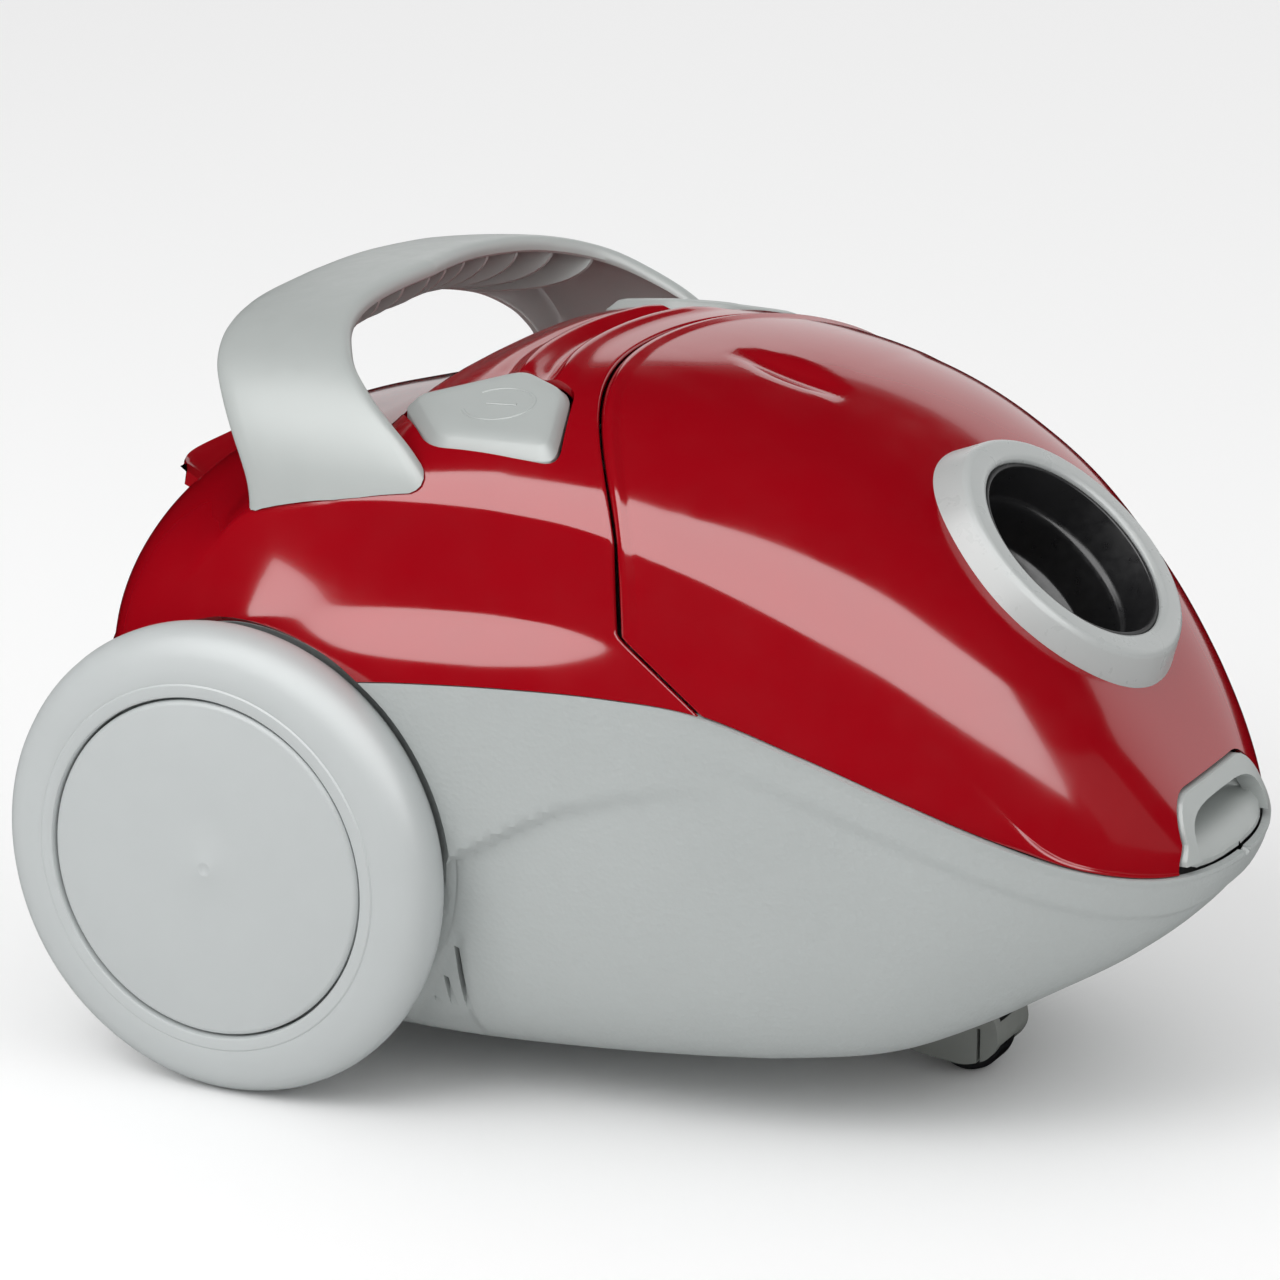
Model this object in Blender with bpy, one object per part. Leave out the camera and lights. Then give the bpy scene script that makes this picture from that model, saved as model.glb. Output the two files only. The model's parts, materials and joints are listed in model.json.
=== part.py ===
"""Canister vacuum cleaner: casings, handle, pedals, wheels, caster, latch, bag and suction unit.

Frame: +X forward (towards the hose inlet), +Y left, +Z up, origin on the floor under the middle of
the machine. Lengths are in millimetres and are scaled to metres when a mesh is made.
"""

import math

import bmesh
import bpy
import numpy as np
from mathutils import Matrix, Vector

MM = 0.001
SMOOTH_ANGLE = math.radians(30.0)

# ---------------------------------------------------------------- driving dimensions (mm)
NOSE_X = 180.2
REAR_X = -173.0
WIDEST_X = -50.0
BELT_HALF_WIDTH = 116.0
WALL = 2.6
FIT = 0.4

WHEEL_RADIUS = 75.0
WHEEL_AXLE_X = -105.2
WHEEL_INNER_Y = 100.0
WHEEL_OUTER_Y = 134.2
WHEEL_DISC_RADIUS = 53.4
AXLE_RADIUS = 5.0
WELL_RADIUS = 80.0
WELL_Y = 97.0

HOSE_FACE = Vector((123.5, 0.0, 173.7))
HOSE_TILT = math.radians(48.3)
HOSE_AXIS = Vector((math.cos(HOSE_TILT), 0.0, math.sin(HOSE_TILT)))
HOSE_BORE_RADIUS = 33.3
HOSE_RING_RADIUS = 48.7
HOSE_FLAT_RADIUS = 40.5

LID_HINGE_X = -20.0
LID_HINGE_Z = 215.5
LID_HINGE_RADIUS = 5.4
LID_GROOVE_RADIUS = 7.2
LID_GROOVE_HALF = 38.0
SEAM_CENTRE_X = -20.0
SEAM_SWEEP = 41.0
SEAM_SIDE_Y = 105.0
SEAM_KNEE_Z = 161.0
SEAM_SIDE_SLOPE = 27.0 / 21.0
SEAM_GAP = 2.6

PEDAL_CORNERS = ((-72.5, 65.0, 213.6), (-39.2, 45.2, 222.0), (-19.1, 55.5, 220.1),
                 (-6.2, 91.0, 209.8), (-49.8, 88.9, 207.6))
PEDAL_FLOOR_Z = 192.0
PEDAL_STEM = (-38.0, 68.0)
PEDAL_TRAVEL = 5.0

CASTER_SWIVEL_X = 78.0
CASTER_AXLE = (93.0, 11.8)
CASTER_WHEEL_RADIUS = 11.8
CASTER_POCKET_RADIUS = 33.0
CASTER_POCKET_Z = 28.0

MOTOR_Z = 82.0
FAN_RADIUS = 54.0
REEL_CENTRE = (-88.0, 0.0)
REEL_RADIUS = 52.0
REEL_Z = (147.0, 174.5)

LATCH_PIN = (165.0, 91.5)
DOOR_HINGE = (-170.0, 136.0)
PARTITION_X = (-21.8, -18.8)
PARTITION_TOP_Z = 188.0

MATERIALS = {
    "red_gloss": ((0.36, 0.005, 0.012), 0.16, 0.0),
    "grey_shell": ((0.44, 0.46, 0.455), 0.5, 0.0),
    "grey_trim": ((0.43, 0.45, 0.44), 0.32, 0.0),
    "dark_plastic": ((0.012, 0.012, 0.013), 0.35, 0.0),
    "white_plastic": ((0.7, 0.7, 0.68), 0.45, 0.0),
    "rubber": ((0.02, 0.02, 0.02), 0.75, 0.0),
    "steel": ((0.55, 0.56, 0.58), 0.3, 1.0),
    "copper": ((0.7, 0.3, 0.14), 0.35, 1.0),
    "carbon": ((0.03, 0.03, 0.032), 0.5, 0.0),
    "paper": ((0.62, 0.53, 0.38), 0.9, 0.0),
    "filter_cloth": ((0.75, 0.77, 0.8), 0.95, 0.0),
    "cord_sheath": ((0.03, 0.03, 0.035), 0.6, 0.0),
}


# ---------------------------------------------------------------- curves of the body
def smooth_samples(points, per_span=14):
    """Dense points on a smooth curve through hand-set points."""
    nodes = np.array(points, float)
    chords = np.hypot(*np.diff(nodes, axis=0).T)
    knots = np.r_[0.0, np.cumsum(chords**0.7)]
    steps = np.diff(knots)
    tangents = np.zeros_like(nodes)
    for axis in range(2):
        slopes = np.diff(nodes[:, axis]) / steps
        tangents[1:-1,
                 axis] = (slopes[:-1] * steps[1:] + slopes[1:] * steps[:-1]) / (knots[2:] - knots[:-2])
        tangents[0, axis] = 1.5 * slopes[0] - 0.5 * tangents[1, axis]
        tangents[-1, axis] = 1.5 * slopes[-1] - 0.5 * tangents[-2, axis]
    samples = []
    for i, step in enumerate(steps):
        for u in np.linspace(0.0, 1.0, per_span):
            samples.append((2 * u**3 - 3 * u**2 + 1) * nodes[i] + (u**3 - 2 * u**2 + u) * step * tangents[i]
                           + (3 * u**2 - 2 * u**3) * nodes[i + 1] + (u**3 - u**2) * step * tangents[i + 1])
    return np.array(samples)


def smooth_curve(points):
    """A smooth height function z(x) through hand-set (x, z) points."""
    samples = smooth_samples(points)
    return lambda x: float(np.interp(x, samples[:, 0], samples[:, 1]))


belt_height = smooth_curve([(REAR_X, 126), (-120, 131), (-77, 134), (-46, 138), (-12, 141), (20, 142),
                            (48, 140),
                            (80, 129), (108, 116.4), (129, 106), (154, 94), (165, 89.7), (173, 87.2),
                            (NOSE_X, 86)])
crown_height = smooth_curve([(REAR_X, 126), (-171, 146), (-166, 162), (-156, 175), (-140, 183), (-110, 189),
                             (-86, 192), (-77.5, 197), (-71.5, 211), (-64, 215), (-40, 220), (-10, 221),
                             (25, 217.5), (64, 205.4), (95, 187), (117, 167), (140, 143), (158, 121),
                             (171, 103), (177.5, 93), (NOSE_X, 86)])
shoulder_height = smooth_curve([(REAR_X, 126), (-161, 130), (-147, 138), (-133, 149), (-122, 162),
                                (-108, 178),
                                (-86, 189), (-50, 197), (-20, 195), (12, 190), (43, 182), (73, 168),
                                (101, 149),
                                (128, 122), (148, 99.5), (160, 93), (NOSE_X, 86)])
keel_height = smooth_curve([(REAR_X, 72), (-169, 46), (-158, 26), (-140, 16), (-60, 13), (0, 15), (60, 18),
                            (95, 23), (115, 31), (135, 42), (155, 54), (170, 67), (NOSE_X, 84)])


def belt_half_width(x, inset=0.0):
    """Half width of the body at its widest line; a superellipse in plan, squarer at the rear."""
    if x > WIDEST_X:
        power, reach = 2.3, NOSE_X - inset - WIDEST_X
    else:
        power, reach = 4.5, WIDEST_X - REAR_X - inset
    share = min(abs(x - WIDEST_X) / reach, 1.0)
    return (BELT_HALF_WIDTH - inset) * (1.0 - share**power) ** (1.0 / power)


def shoulder_step(x):
    """How far the shoulder crease stands inside the belt line."""
    return float(np.interp(x, [-168, -150, -110, -20, 20, 60, 110, 148, 180],
                           [2, 7, 12, 11.5, 8, 7, 5.5, 1.2, 0.3]))


def upper_half(x, inset=0.0, skirt=0.0, dome_points=7):
    """Half outline (y, z) of the upper casing at x: flank up to the shoulder, then the dome."""
    width = belt_half_width(x, inset)
    base = belt_height(x)
    top = crown_height(x) - inset
    rise = top - base
    crease_y = max(width - shoulder_step(x), 0.5 * width)
    crease_z = min(max(shoulder_height(x) - 0.6 * inset, base + 0.05 * rise), top - 0.05 * rise)
    fender = float(np.interp(x, [-165, -150, -120, -60, 0, 30, 46], [0, 0.7, 1, 1, 0.8, 0.35, 0]))
    fold_z = base + 0.37 * (crease_z - base)
    fold_y = (1 - fender) * (width + 0.45 * (crease_y - width)) + fender * (crease_y + 2.0)
    outline = [(width, base - skirt)] if skirt else []
    outline += [(width, base), (width - 1.0 * fender, 0.5 * (base + fold_z)), (fold_y, fold_z)]
    share, power = 0.25, 2.45
    centre_z = (crease_z - share * top) / (1 - share)
    reach_y = crease_y / (1 - share**power) ** (1 / power)
    start = math.asin(share ** (power / 2))
    for k in range(dome_points + 1):
        angle = start + (math.pi / 2 - start) * k / dome_points
        outline.append((reach_y * max(math.cos(angle), 0.0) ** (2 / power),
                        centre_z + (top - centre_z) * math.sin(angle) ** (2 / power)))
    outline[-1] = (0.0, top)
    return outline


def lower_half(x, inset=0.0, lip=0.0, points=8):
    """Half outline (y, z) of the tub at x, from the belt down to the keel."""
    width = belt_half_width(x, inset)
    base = belt_height(x)
    keel = keel_height(x) + inset
    power = float(np.interp(x, [-60, 60, 130, 180], [6.5, 6.0, 3.6, 2.4]))
    outline = [(width, base + lip)] if lip else []
    for k in range(points + 1):
        angle = 0.5 * math.pi * k / points
        drop = math.sin(angle) ** (2 / power)
        outline.append((width * max(math.cos(angle), 0.0) ** (2 / power) * (1 - 0.06 * drop),
                        base - (base - keel) * drop))
    outline[-1] = (0.0, keel)
    return outline


def body_ring(half, x):
    """Closed outline at x from a half outline that ends on the centre plane."""
    left = [Vector((x, y, z)) for y, z in half]
    right = [Vector((x, -y, z)) for y, z in reversed(half[:-1])]
    return left + right


# ---------------------------------------------------------------- mesh helpers
def material(name):
    """The named Principled material, made once."""
    if name in bpy.data.materials:
        return bpy.data.materials[name]
    colour, roughness, metallic = MATERIALS[name]
    made = bpy.data.materials.new(name)
    made.use_nodes = True
    shader = made.node_tree.nodes["Principled BSDF"]
    shader.inputs["Base Color"].default_value = (*colour, 1.0)
    shader.inputs["Roughness"].default_value = roughness
    shader.inputs["Metallic"].default_value = metallic
    return made


def finish(name, bm, material_name=None, pivot=(0.0, 0.0, 0.0)):
    """Turns a bmesh in millimetres into an object whose origin is the pivot."""
    bmesh.ops.recalc_face_normals(bm, faces=bm.faces)
    pivot = Vector(pivot)
    for vertex in bm.verts:
        vertex.co = (vertex.co - pivot) * MM
    mesh = bpy.data.meshes.new(name)
    bm.to_mesh(mesh)
    bm.free()
    made = bpy.data.objects.new(name, mesh)
    made.location = pivot * MM
    bpy.context.scene.collection.objects.link(made)
    mesh.shade_smooth()
    mesh.set_sharp_from_angle(angle=SMOOTH_ANGLE)
    if material_name:
        mesh.materials.append(material(material_name))
    return made


def loft(bm, rings, close=False):
    """Skins a list of closed rings; the ends are capped unless the loft closes on itself."""
    rows = [[bm.verts.new(point) for point in ring] for ring in rings]
    count = len(rows[0])
    spans = len(rows) if close else len(rows) - 1
    for i in range(spans):
        near, far = rows[i], rows[(i + 1) % len(rows)]
        for j in range(count):
            k = (j + 1) % count
            bm.faces.new((near[j], near[k], far[k], far[j]))
    if not close:
        bm.faces.new(rows[0])
        bm.faces.new(rows[-1])


def frame_matrix(origin, axis):
    """A matrix whose local Z runs along axis from origin."""
    turn = Vector((0, 0, 1)).rotation_difference(Vector(axis).normalized()).to_matrix().to_4x4()
    return Matrix.Translation(Vector(origin)) @ turn


def turned(bm, profile, origin, axis, segments=20):
    """Turns a closed (radius, height) profile round an axis; points on the axis become poles."""
    place = frame_matrix(origin, axis)
    columns = []
    for radius, height in profile:
        if radius < 1e-6:
            columns.append([bm.verts.new(place @ Vector((0, 0, height)))] * segments)
            continue
        columns.append([bm.verts.new(place @ Vector((radius * math.cos(2 * math.pi * k / segments),
                                                     radius * math.sin(2 * math.pi * k / segments),
                                                     height)))
                        for k in range(segments)])
    for i in range(len(profile)):
        near, far = columns[i], columns[(i + 1) % len(profile)]
        for k in range(segments):
            m = (k + 1) % segments
            corners = [near[k], near[m], far[m], far[k]]
            unique = list(dict.fromkeys(corners))
            if len(unique) > 2:
                bm.faces.new(unique)


def rod(bm, start, end, radius, segments=16):
    """A solid round bar between two points."""
    start, end = Vector(start), Vector(end)
    place = frame_matrix(start, end - start)
    circle = [(radius * math.cos(2 * math.pi * k / segments), radius * math.sin(2 * math.pi * k / segments))
              for k in range(segments)]
    loft(bm, [[place @ Vector((x, y, height)) for x, y in circle] for height in (0.0,
                                                                                 (end - start).length)])


def prism(bm, outline, low, high, axis="Y"):
    """Extrudes an outline along an axis; the outline holds the other two coordinates in order."""
    place = {"X": lambda p, h: Vector((h, p[0], p[1])),
             "Y": lambda p, h: Vector((p[0], h, p[1])),
             "Z": lambda p, h: Vector((p[0], p[1], h))}[axis]
    loft(bm, [[place(point, height) for point in outline] for height in (low, high)])


def box(bm, low, high):
    """A box between two corners."""
    prism(bm, [(low[0], low[1]), (high[0], low[1]), (high[0], high[1]), (low[0], high[1])],
          low[2], high[2], "Z")


def rounded_rectangle(half_width, half_height, radius, steps=4):
    """Corner-rounded outline round the origin."""
    points = []
    for cx, cy, first in ((1, 1, 0), (-1, 1, 90), (-1, -1, 180), (1, -1, 270)):
        for k in range(steps + 1):
            angle = math.radians(first + 90 * k / steps)
            points.append((cx * (half_width - radius) + radius * math.cos(angle),
                           cy * (half_height - radius) + radius * math.sin(angle)))
    return points


def offset_outline(outline, distance):
    """Moves each edge of a convex outline outwards by a distance."""
    count = len(outline)
    area = sum(outline[i][0] * outline[(i + 1) % count][1] - outline[(i + 1) % count][0] * outline[i][1]
               for i in range(count))
    side = 1.0 if area > 0 else -1.0
    moved = []
    for i in range(count):
        before, here, after = (Vector(outline[(i + k) % count]) for k in (-1, 0, 1))
        first = (here - before).normalized()
        second = (after - here).normalized()
        normals = [Vector((d.y, -d.x)) * side for d in (first, second)]
        bisector = (normals[0] + normals[1]).normalized()
        moved.append(tuple(here + bisector * (distance / max(bisector.dot(normals[0]), 0.3))))
    return moved


def combine(target, tool, operation="DIFFERENCE"):
    """Adds a Boolean with a hidden tool object."""
    modifier = target.modifiers.new(tool.name, "BOOLEAN")
    modifier.operation = operation
    modifier.object = tool
    tool.hide_render = True
    tool.display_type = "WIRE"


def solid(name, material_name, builder, *arguments, pivot=(0, 0, 0), **options):
    """An object from one shape call."""
    bm = bmesh.new()
    builder(bm, *arguments, **options)
    return finish(name, bm, material_name, pivot)


def tool(name, builder, *arguments, **options):
    """A hidden Boolean tool from one shape call."""
    made = solid("tool_" + name, None, builder, *arguments, **options)
    made.hide_render = True
    made.display_type = "WIRE"
    return made


# ---------------------------------------------------------------- shared tools of the casings
def well_tools(name, radius, wall_y):
    """Cylinders that clear the space of both rear wheels."""
    return [tool(f"{name}_{side}", rod, (WHEEL_AXLE_X, sign * wall_y, WHEEL_RADIUS),
                 (WHEEL_AXLE_X, sign * 150, WHEEL_RADIUS), radius, segments=48)
            for side, sign in (("left", 1), ("right", -1))]


def seam_x(y):
    """The lid seam in plan: a shallow arc, furthest back on the centre line."""
    return SEAM_CENTRE_X + SEAM_SWEEP * (y / SEAM_SIDE_Y) ** 2


def seam_tool(name, far_x, shift):
    """The space on one side of the lid seam; below the knee the seam runs forward to the belt."""
    rings = []
    for z in (100.0, SEAM_KNEE_Z, 260.0):
        forward = max(SEAM_KNEE_Z - z, 0.0) * SEAM_SIDE_SLOPE
        sides = np.linspace(-130, 130, 27)
        rings.append([Vector((seam_x(y) + forward + shift, y, z)) for y in sides]
                     + [Vector((far_x, 130, z)), Vector((far_x, -130, z))])
    return tool(name, loft, rings)


def upper_solid(stations, inset=0.0, skirt=0.0, raise_by=0.0, dome_points=7):
    """A closed solid of the upper body between two ends."""
    rings = []
    for x in stations:
        half = upper_half(x, inset, skirt, dome_points)
        if raise_by:
            lift = min(raise_by, 0.5 * (half[1][1] - half[0][1]))
            half[0] = (half[0][0], half[0][1] + lift)
        rings.append(body_ring(half, x))
    bm = bmesh.new()
    loft(bm, rings)
    return bm


def pedal_outline(sign, grow=0.0):
    """Plan outline of a pedal, corners rounded with short chamfers."""
    corners = [(x, sign * y) for x, y, _ in PEDAL_CORNERS]
    count = len(corners)
    points = []
    for i in range(count):
        before, here, after = (Vector(corners[(i + k) % count]) for k in (-1, 0, 1))
        for u in (0.0, 0.5, 1.0):
            start = here + (before - here).normalized() * 5.0
            end = here + (after - here).normalized() * 5.0
            points.append(tuple(start * (1 - u) ** 2 + here * 2 * u * (1 - u) + end * u**2))
    return offset_outline(points, grow) if grow else points


def pedal_top_z(x, y):
    """Height of the pedal's tilted top plane."""
    first, second, third = (Vector(PEDAL_CORNERS[i]) for i in (0, 1, 3))
    normal = (second - first).cross(third - first)
    return first.z - (normal.x * (x - first.x) + normal.y * (abs(y) - first.y)) / normal.z


# ---------------------------------------------------------------- casings
REAR_STATIONS = (-172.6, -171.2, -168, -162, -152, -138, -120, -100, -87, -80, -76.5, -73, -69.5, -62, -40,
                 -20, 5,
                 30, 46, 62)
FRONT_STATIONS = (-40, -20, 5, 30, 46, 62, 78, 94, 112, 130, 146, 158, 167, 173, 177, 179.2, 180.1)
TUB_STATIONS = (-172.6, -171.2, -168, -162, -152, -138, -120, -100, -80, -62, -40, -20, 5, 30, 46, 62, 78,
                94, 112,
                130, 146, 158, 167, 173, 177, 179.2, 180.1)
CAVITY_FRONT = (94, 112, 130, 146, 158, 167, 173, 176.5)
CAVITY_REAR = (-170.2, -168, -162, -152, -138, -120, -100)


def make_rear_cover():
    cover = finish("rear_cover", upper_solid(REAR_STATIONS, raise_by=FIT), "red_gloss")
    for cutter in well_tools("cover_well", WELL_RADIUS, WELL_Y):
        combine(cover, cutter)
    cavity_stations = CAVITY_REAR + (-87, -80, -76.5, -73, -69.5, -62, -40, -20, 5, 30, 75)
    cavity = finish("tool_cover_cavity", upper_solid(cavity_stations, WALL, skirt=8.0, dome_points=5))
    for keeper in well_tools("cover_well_wall", WELL_RADIUS + WALL, WELL_Y - WALL):
        combine(cavity, keeper)
    combine(cover, cavity)
    combine(cover, seam_tool("cover_front", 200.0, -SEAM_GAP))
    combine(cover, tool("hinge_groove", rod, (LID_HINGE_X, -LID_GROOVE_HALF, LID_HINGE_Z),
                        (LID_HINGE_X, LID_GROOVE_HALF, LID_HINGE_Z), LID_GROOVE_RADIUS, segments=24))
    for side, sign in (("left", 1), ("right", -1)):
        combine(cover, tool(f"pedal_opening_{side}", prism, pedal_outline(sign, 1.2), 180, 240, "Z"))
    combine(cover, tool("door_opening", box, (-200, -44, 132.8), (-152, 44, 166)))
    combine(cover, tool("cord_outlet_gap", rod, (-190, 66, 108), (-150, 66, 108), 12.5, segments=20))
    for side, sign in (("left", 1), ("right", -1)):
        low, high = sorted((sign * 9.6, sign * 15.5))
        combine(cover, tool(f"hinge_knuckle_{side}", prism,
                            [(-18.2, 215.2), (-18.9, 216.6), (-21.6, 216.7), (-24.6, 217.3), (-27.6, 219),
                             (-31, 219.2), (-31, 210),
                             (-22, 212.6), (-18.6, 213.7)], low, high, "Y"), "UNION")
    combine(cover, tool("hinge_bore", rod, (LID_HINGE_X, -30, LID_HINGE_Z), (LID_HINGE_X, 30, LID_HINGE_Z),
                        1.3,
                        segments=12))


def make_base_tub():
    tub = solid("base_tub", "grey_shell", loft, [body_ring(lower_half(x, points=7),
                                                           x) for x in TUB_STATIONS])
    for cutter in well_tools("tub_well", WELL_RADIUS, WELL_Y):
        combine(tub, cutter)
    combine(tub, tool("caster_pocket", rod, (CASTER_SWIVEL_X, 0, -5), (CASTER_SWIVEL_X, 0, CASTER_POCKET_Z),
                      CASTER_POCKET_RADIUS, segments=40))
    cavity_stations = CAVITY_REAR + (-70, -40, -5, 30, 62) + CAVITY_FRONT
    cavity = tool("tub_cavity", loft, [body_ring(lower_half(x, WALL, lip=8.0, points=7),
                                                 x) for x in cavity_stations])
    for keeper in well_tools("tub_well_wall", WELL_RADIUS + WALL, WELL_Y - WALL):
        combine(cavity, keeper)
    combine(cavity, tool("caster_pocket_wall", rod, (CASTER_SWIVEL_X, 0, -5),
                         (CASTER_SWIVEL_X, 0, CASTER_POCKET_Z + WALL), CASTER_POCKET_RADIUS + WALL,
                         segments=40))
    combine(tub, cavity)
    combine(tub, tool("axle_bore", rod, (WHEEL_AXLE_X, -110, WHEEL_RADIUS),
                      (WHEEL_AXLE_X, 110, WHEEL_RADIUS),
                      AXLE_RADIUS + FIT, segments=20))
    combine(tub, tool("stem_bore", rod, (CASTER_SWIVEL_X, 0, 20), (CASTER_SWIVEL_X, 0, 45), 5.4,
                      segments=20))
    combine(tub, tool("cord_bore", rod, (-190, 66, 108), (-150, 66, 108), 9.0, segments=20))
    for side in (1, -1):
        for x, low, high in ((-34, 28, 54), (-38.5, 26, 46), (-43, 25, 38)):
            combine(tub, tool(f"vent_{side}_{x}", box, (x - 1.1, side * 118 - 20, low),
                              (x + 1.1, side * 118 + 20, high)))


def make_bag_lid():
    lid = finish("bag_lid", upper_solid(FRONT_STATIONS, raise_by=1.4), "red_gloss")
    cavity_stations = (-55, -20, 5, 30, 62) + CAVITY_FRONT
    combine(lid, finish("tool_lid_cavity", upper_solid(cavity_stations, WALL, skirt=6.0, dome_points=5)))
    combine(lid, seam_tool("lid_back", -200.0, 0.0))
    base = HOSE_FACE - HOSE_AXIS * 40
    combine(lid, tool("hose_opening", rod, base, HOSE_FACE + HOSE_AXIS * 20, HOSE_RING_RADIUS + 0.6,
                      segments=48))
    combine(lid, tool("latch_notch", prism, latch_outline(0.0, 80.0), 140, 190, "X"))
    knuckle = tool("lid_knuckle", prism, [(-20 + LID_HINGE_RADIUS - 2.6, 219.5), (-22.4, 216), (-20, 213.0),
                                          (-16, 213.5), (-8, 219.6)],
                   -9, 9, "Y")
    combine(lid, knuckle, "UNION")
    combine(lid, tool("lid_pin_bore", rod, (LID_HINGE_X, -30, LID_HINGE_Z), (LID_HINGE_X, 30, LID_HINGE_Z),
                      1.3, segments=12))


# ---------------------------------------------------------------- latch
def latch_outline(inset, base_z):
    """Front view outline (y, z) of the latch opening: wide at the belt, arched on top."""
    foot = 37 - 0.25 * (base_z - 80) - inset
    half = [(foot, base_z), (34 - inset, 92), (29 - inset, 103 - 0.6 * inset), (18, 109.5 - inset)]
    return [(-y, z) for y, z in half] + list(reversed(half))


def make_front_latch():
    """A curved arch plate on the nose that swings forward on a cross pin."""
    latch = finish("front_latch", upper_solid((150, 158, 167, 173, 177, 179.2, 180.1), inset=-0.2),
                   "grey_trim", pivot=(LATCH_PIN[0], 0, LATCH_PIN[1]))
    combine(latch, finish("tool_latch_back", upper_solid((140, 158, 165, 170, 173.2, 175.6), inset=4.5,
                                                         skirt=4)))
    combine(latch, tool("latch_shape", prism, latch_outline(1.2, 89.5), 150, 190, "X"), "INTERSECT")
    combine(latch, tool("finger_hole", prism, [(-26, 80), (-24, 92), (-19, 99), (-12, 101.5), (12, 101.5),
                                               (19, 99), (24, 92), (26, 80)], 140, 190, "X"))
    for side, sign in (("left", 1), ("right", -1)):
        ears = sorted((sign * 26.6, sign * 30.4))
        combine(latch, tool(f"latch_ear_{side}", prism,
                            [(162, 94.5), (162, 89.2), (168, 89.2), (171, 92), (171, 97)], *ears, "Y"),
                "UNION")
    combine(latch, tool("latch_pin_bore", rod, (LATCH_PIN[0], -40, LATCH_PIN[1]),
                        (LATCH_PIN[0], 40, LATCH_PIN[1]), 1.7, segments=12))


def make_latch_parts():
    pin_x, pin_z = LATCH_PIN
    solid("latch_pin", "steel", rod, (pin_x, -31.5, pin_z), (pin_x, 31.5, pin_z), 1.3, segments=12)
    scoop = solid("finger_scoop", "grey_trim", prism,
                  [(158, 84), (158, 103), (160.0, 103), (160.2, 96), (161.4, 88.8), (165, 86.4),
                   (168, 85.2), (168, 84)],
                  -25.4, 25.4, "Y")
    for sign in (1, -1):
        low, high = sorted((sign * 21.0, sign * 25.4))
        combine(scoop, tool(f"scoop_cheek_{sign}", prism,
                            [(158.5, 84.4), (158.5, 102), (166, 96), (168.4, 90), (168.4, 84.4)],
                            low, high, "Y"), "UNION")
    combine(scoop, tool("scoop_bore", rod, (pin_x, -40, pin_z), (pin_x, 40, pin_z), 1.7, segments=12))
    solid("latch_spring", "steel", turned, [(2.8, 0), (2.8, 14), (1.8, 14), (1.8, 0)],
          (pin_x, 4, pin_z), (0, 1, 0), segments=14, pivot=(pin_x, 0, pin_z))


# ---------------------------------------------------------------- handle
HANDLE_ARCH = ((0, 237.5), (40, 234), (70, 228), (90, 219), (99, 209), (103, 199), (104.4, 181.3))
HANDLE_REAR = ((0, -145), (31, -144.5), (57, -139), (76, -132), (90, -124.5), (100.5, -115), (103.4, -110),
               (104.5, -106))
HANDLE_FRONT = ((0, -97), (30, -99.5), (48, -97), (63.5, -91.5), (73.5, -86), (83, -79.5), (92.4, -69),
                (97.3, -60.4), (101.6, -50), (103.2, -45.4), (104.5, -43))
HANDLE_DEPTH = 15.0
HANDLE_SKIN = 3.4
HANDLE_TILT = 0.18


def handle_place(share):
    """Point (y, z) of the arch at a signed share of its half length."""
    path = smooth_samples(HANDLE_ARCH)
    length = np.r_[0.0, np.cumsum(np.hypot(*np.diff(path, axis=0).T))]
    reach = abs(share) * length[-1]
    return math.copysign(np.interp(reach, length, path[:, 0]),
                         share), float(np.interp(reach, length, path[:, 1]))


def handle_frame(share):
    """Place, outward direction, rear x, front x and cross tilt of the handle at a share of the arch."""
    y, z = handle_place(share)
    step = 0.03
    before, after = handle_place(max(share - step, -1.0)), handle_place(min(share + step, 1.0))
    along = Vector((0, after[0] - before[0], after[1] - before[1])).normalized()
    outward = Vector((0, -along.z, along.y))
    rear = float(np.interp(abs(y), *np.array(HANDLE_REAR, float).T))
    front = float(np.interp(abs(y), *np.array(HANDLE_FRONT, float).T))
    tilt = HANDLE_TILT * max(0.0, 1 - (abs(y) / 106) ** 2.5)
    return Vector((0, y, z)), along, outward, rear, front, tilt


def handle_point(frame, x, drop):
    """A point of the handle's cross-section, drop millimetres inside the outer skin."""
    place, _, outward, _, _, tilt = frame
    return place + Vector((x, 0, tilt * (x + 100.0))) - outward * drop


def handle_section(share):
    """U section of the handle: skin outside, two flanges inside."""
    frame = handle_frame(share)
    rear, front, skin, depth = frame[3], frame[4], HANDLE_SKIN, HANDLE_DEPTH
    outer = [(rear, depth), (rear, 4.0), (rear + 2.5, 0.8), (rear + 8, 0.0),
             (front - 8, 0.0), (front - 2.5, 0.8), (front, 4.0), (front, depth)]
    inner = [(front - skin, depth), (front - skin, skin + 2), (rear + skin, skin + 2), (rear + skin, depth)]
    return [handle_point(frame, x, drop) for x, drop in outer + inner]


def make_handle():
    shares = (0, 0.12, 0.24, 0.36, 0.46, 0.55, 0.62, 0.68, 0.74, 0.8, 0.87, 1.0)
    signed = [-share for share in reversed(shares)] + list(shares[1:])
    handle = solid("carry_handle", "grey_trim", loft, [handle_section(share) for share in signed])
    for index in range(11):
        frame = handle_frame((index - 5) * 0.115)
        rear, front = frame[3] + 2, frame[4] - 2
        corners = ((rear, 4.4), (front, 4.4), (front, 13.5), (rear, 13.5))
        rings = [[handle_point(frame, x, drop) + frame[1] * shift for x,
                  drop in corners] for shift in (-1.0, 1.0)]
        combine(handle, tool(f"handle_rib_{index}", loft, rings), "UNION")
    combine(handle, finish("tool_handle_seat", upper_solid(REAR_STATIONS, inset=-0.8, skirt=30)))


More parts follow.
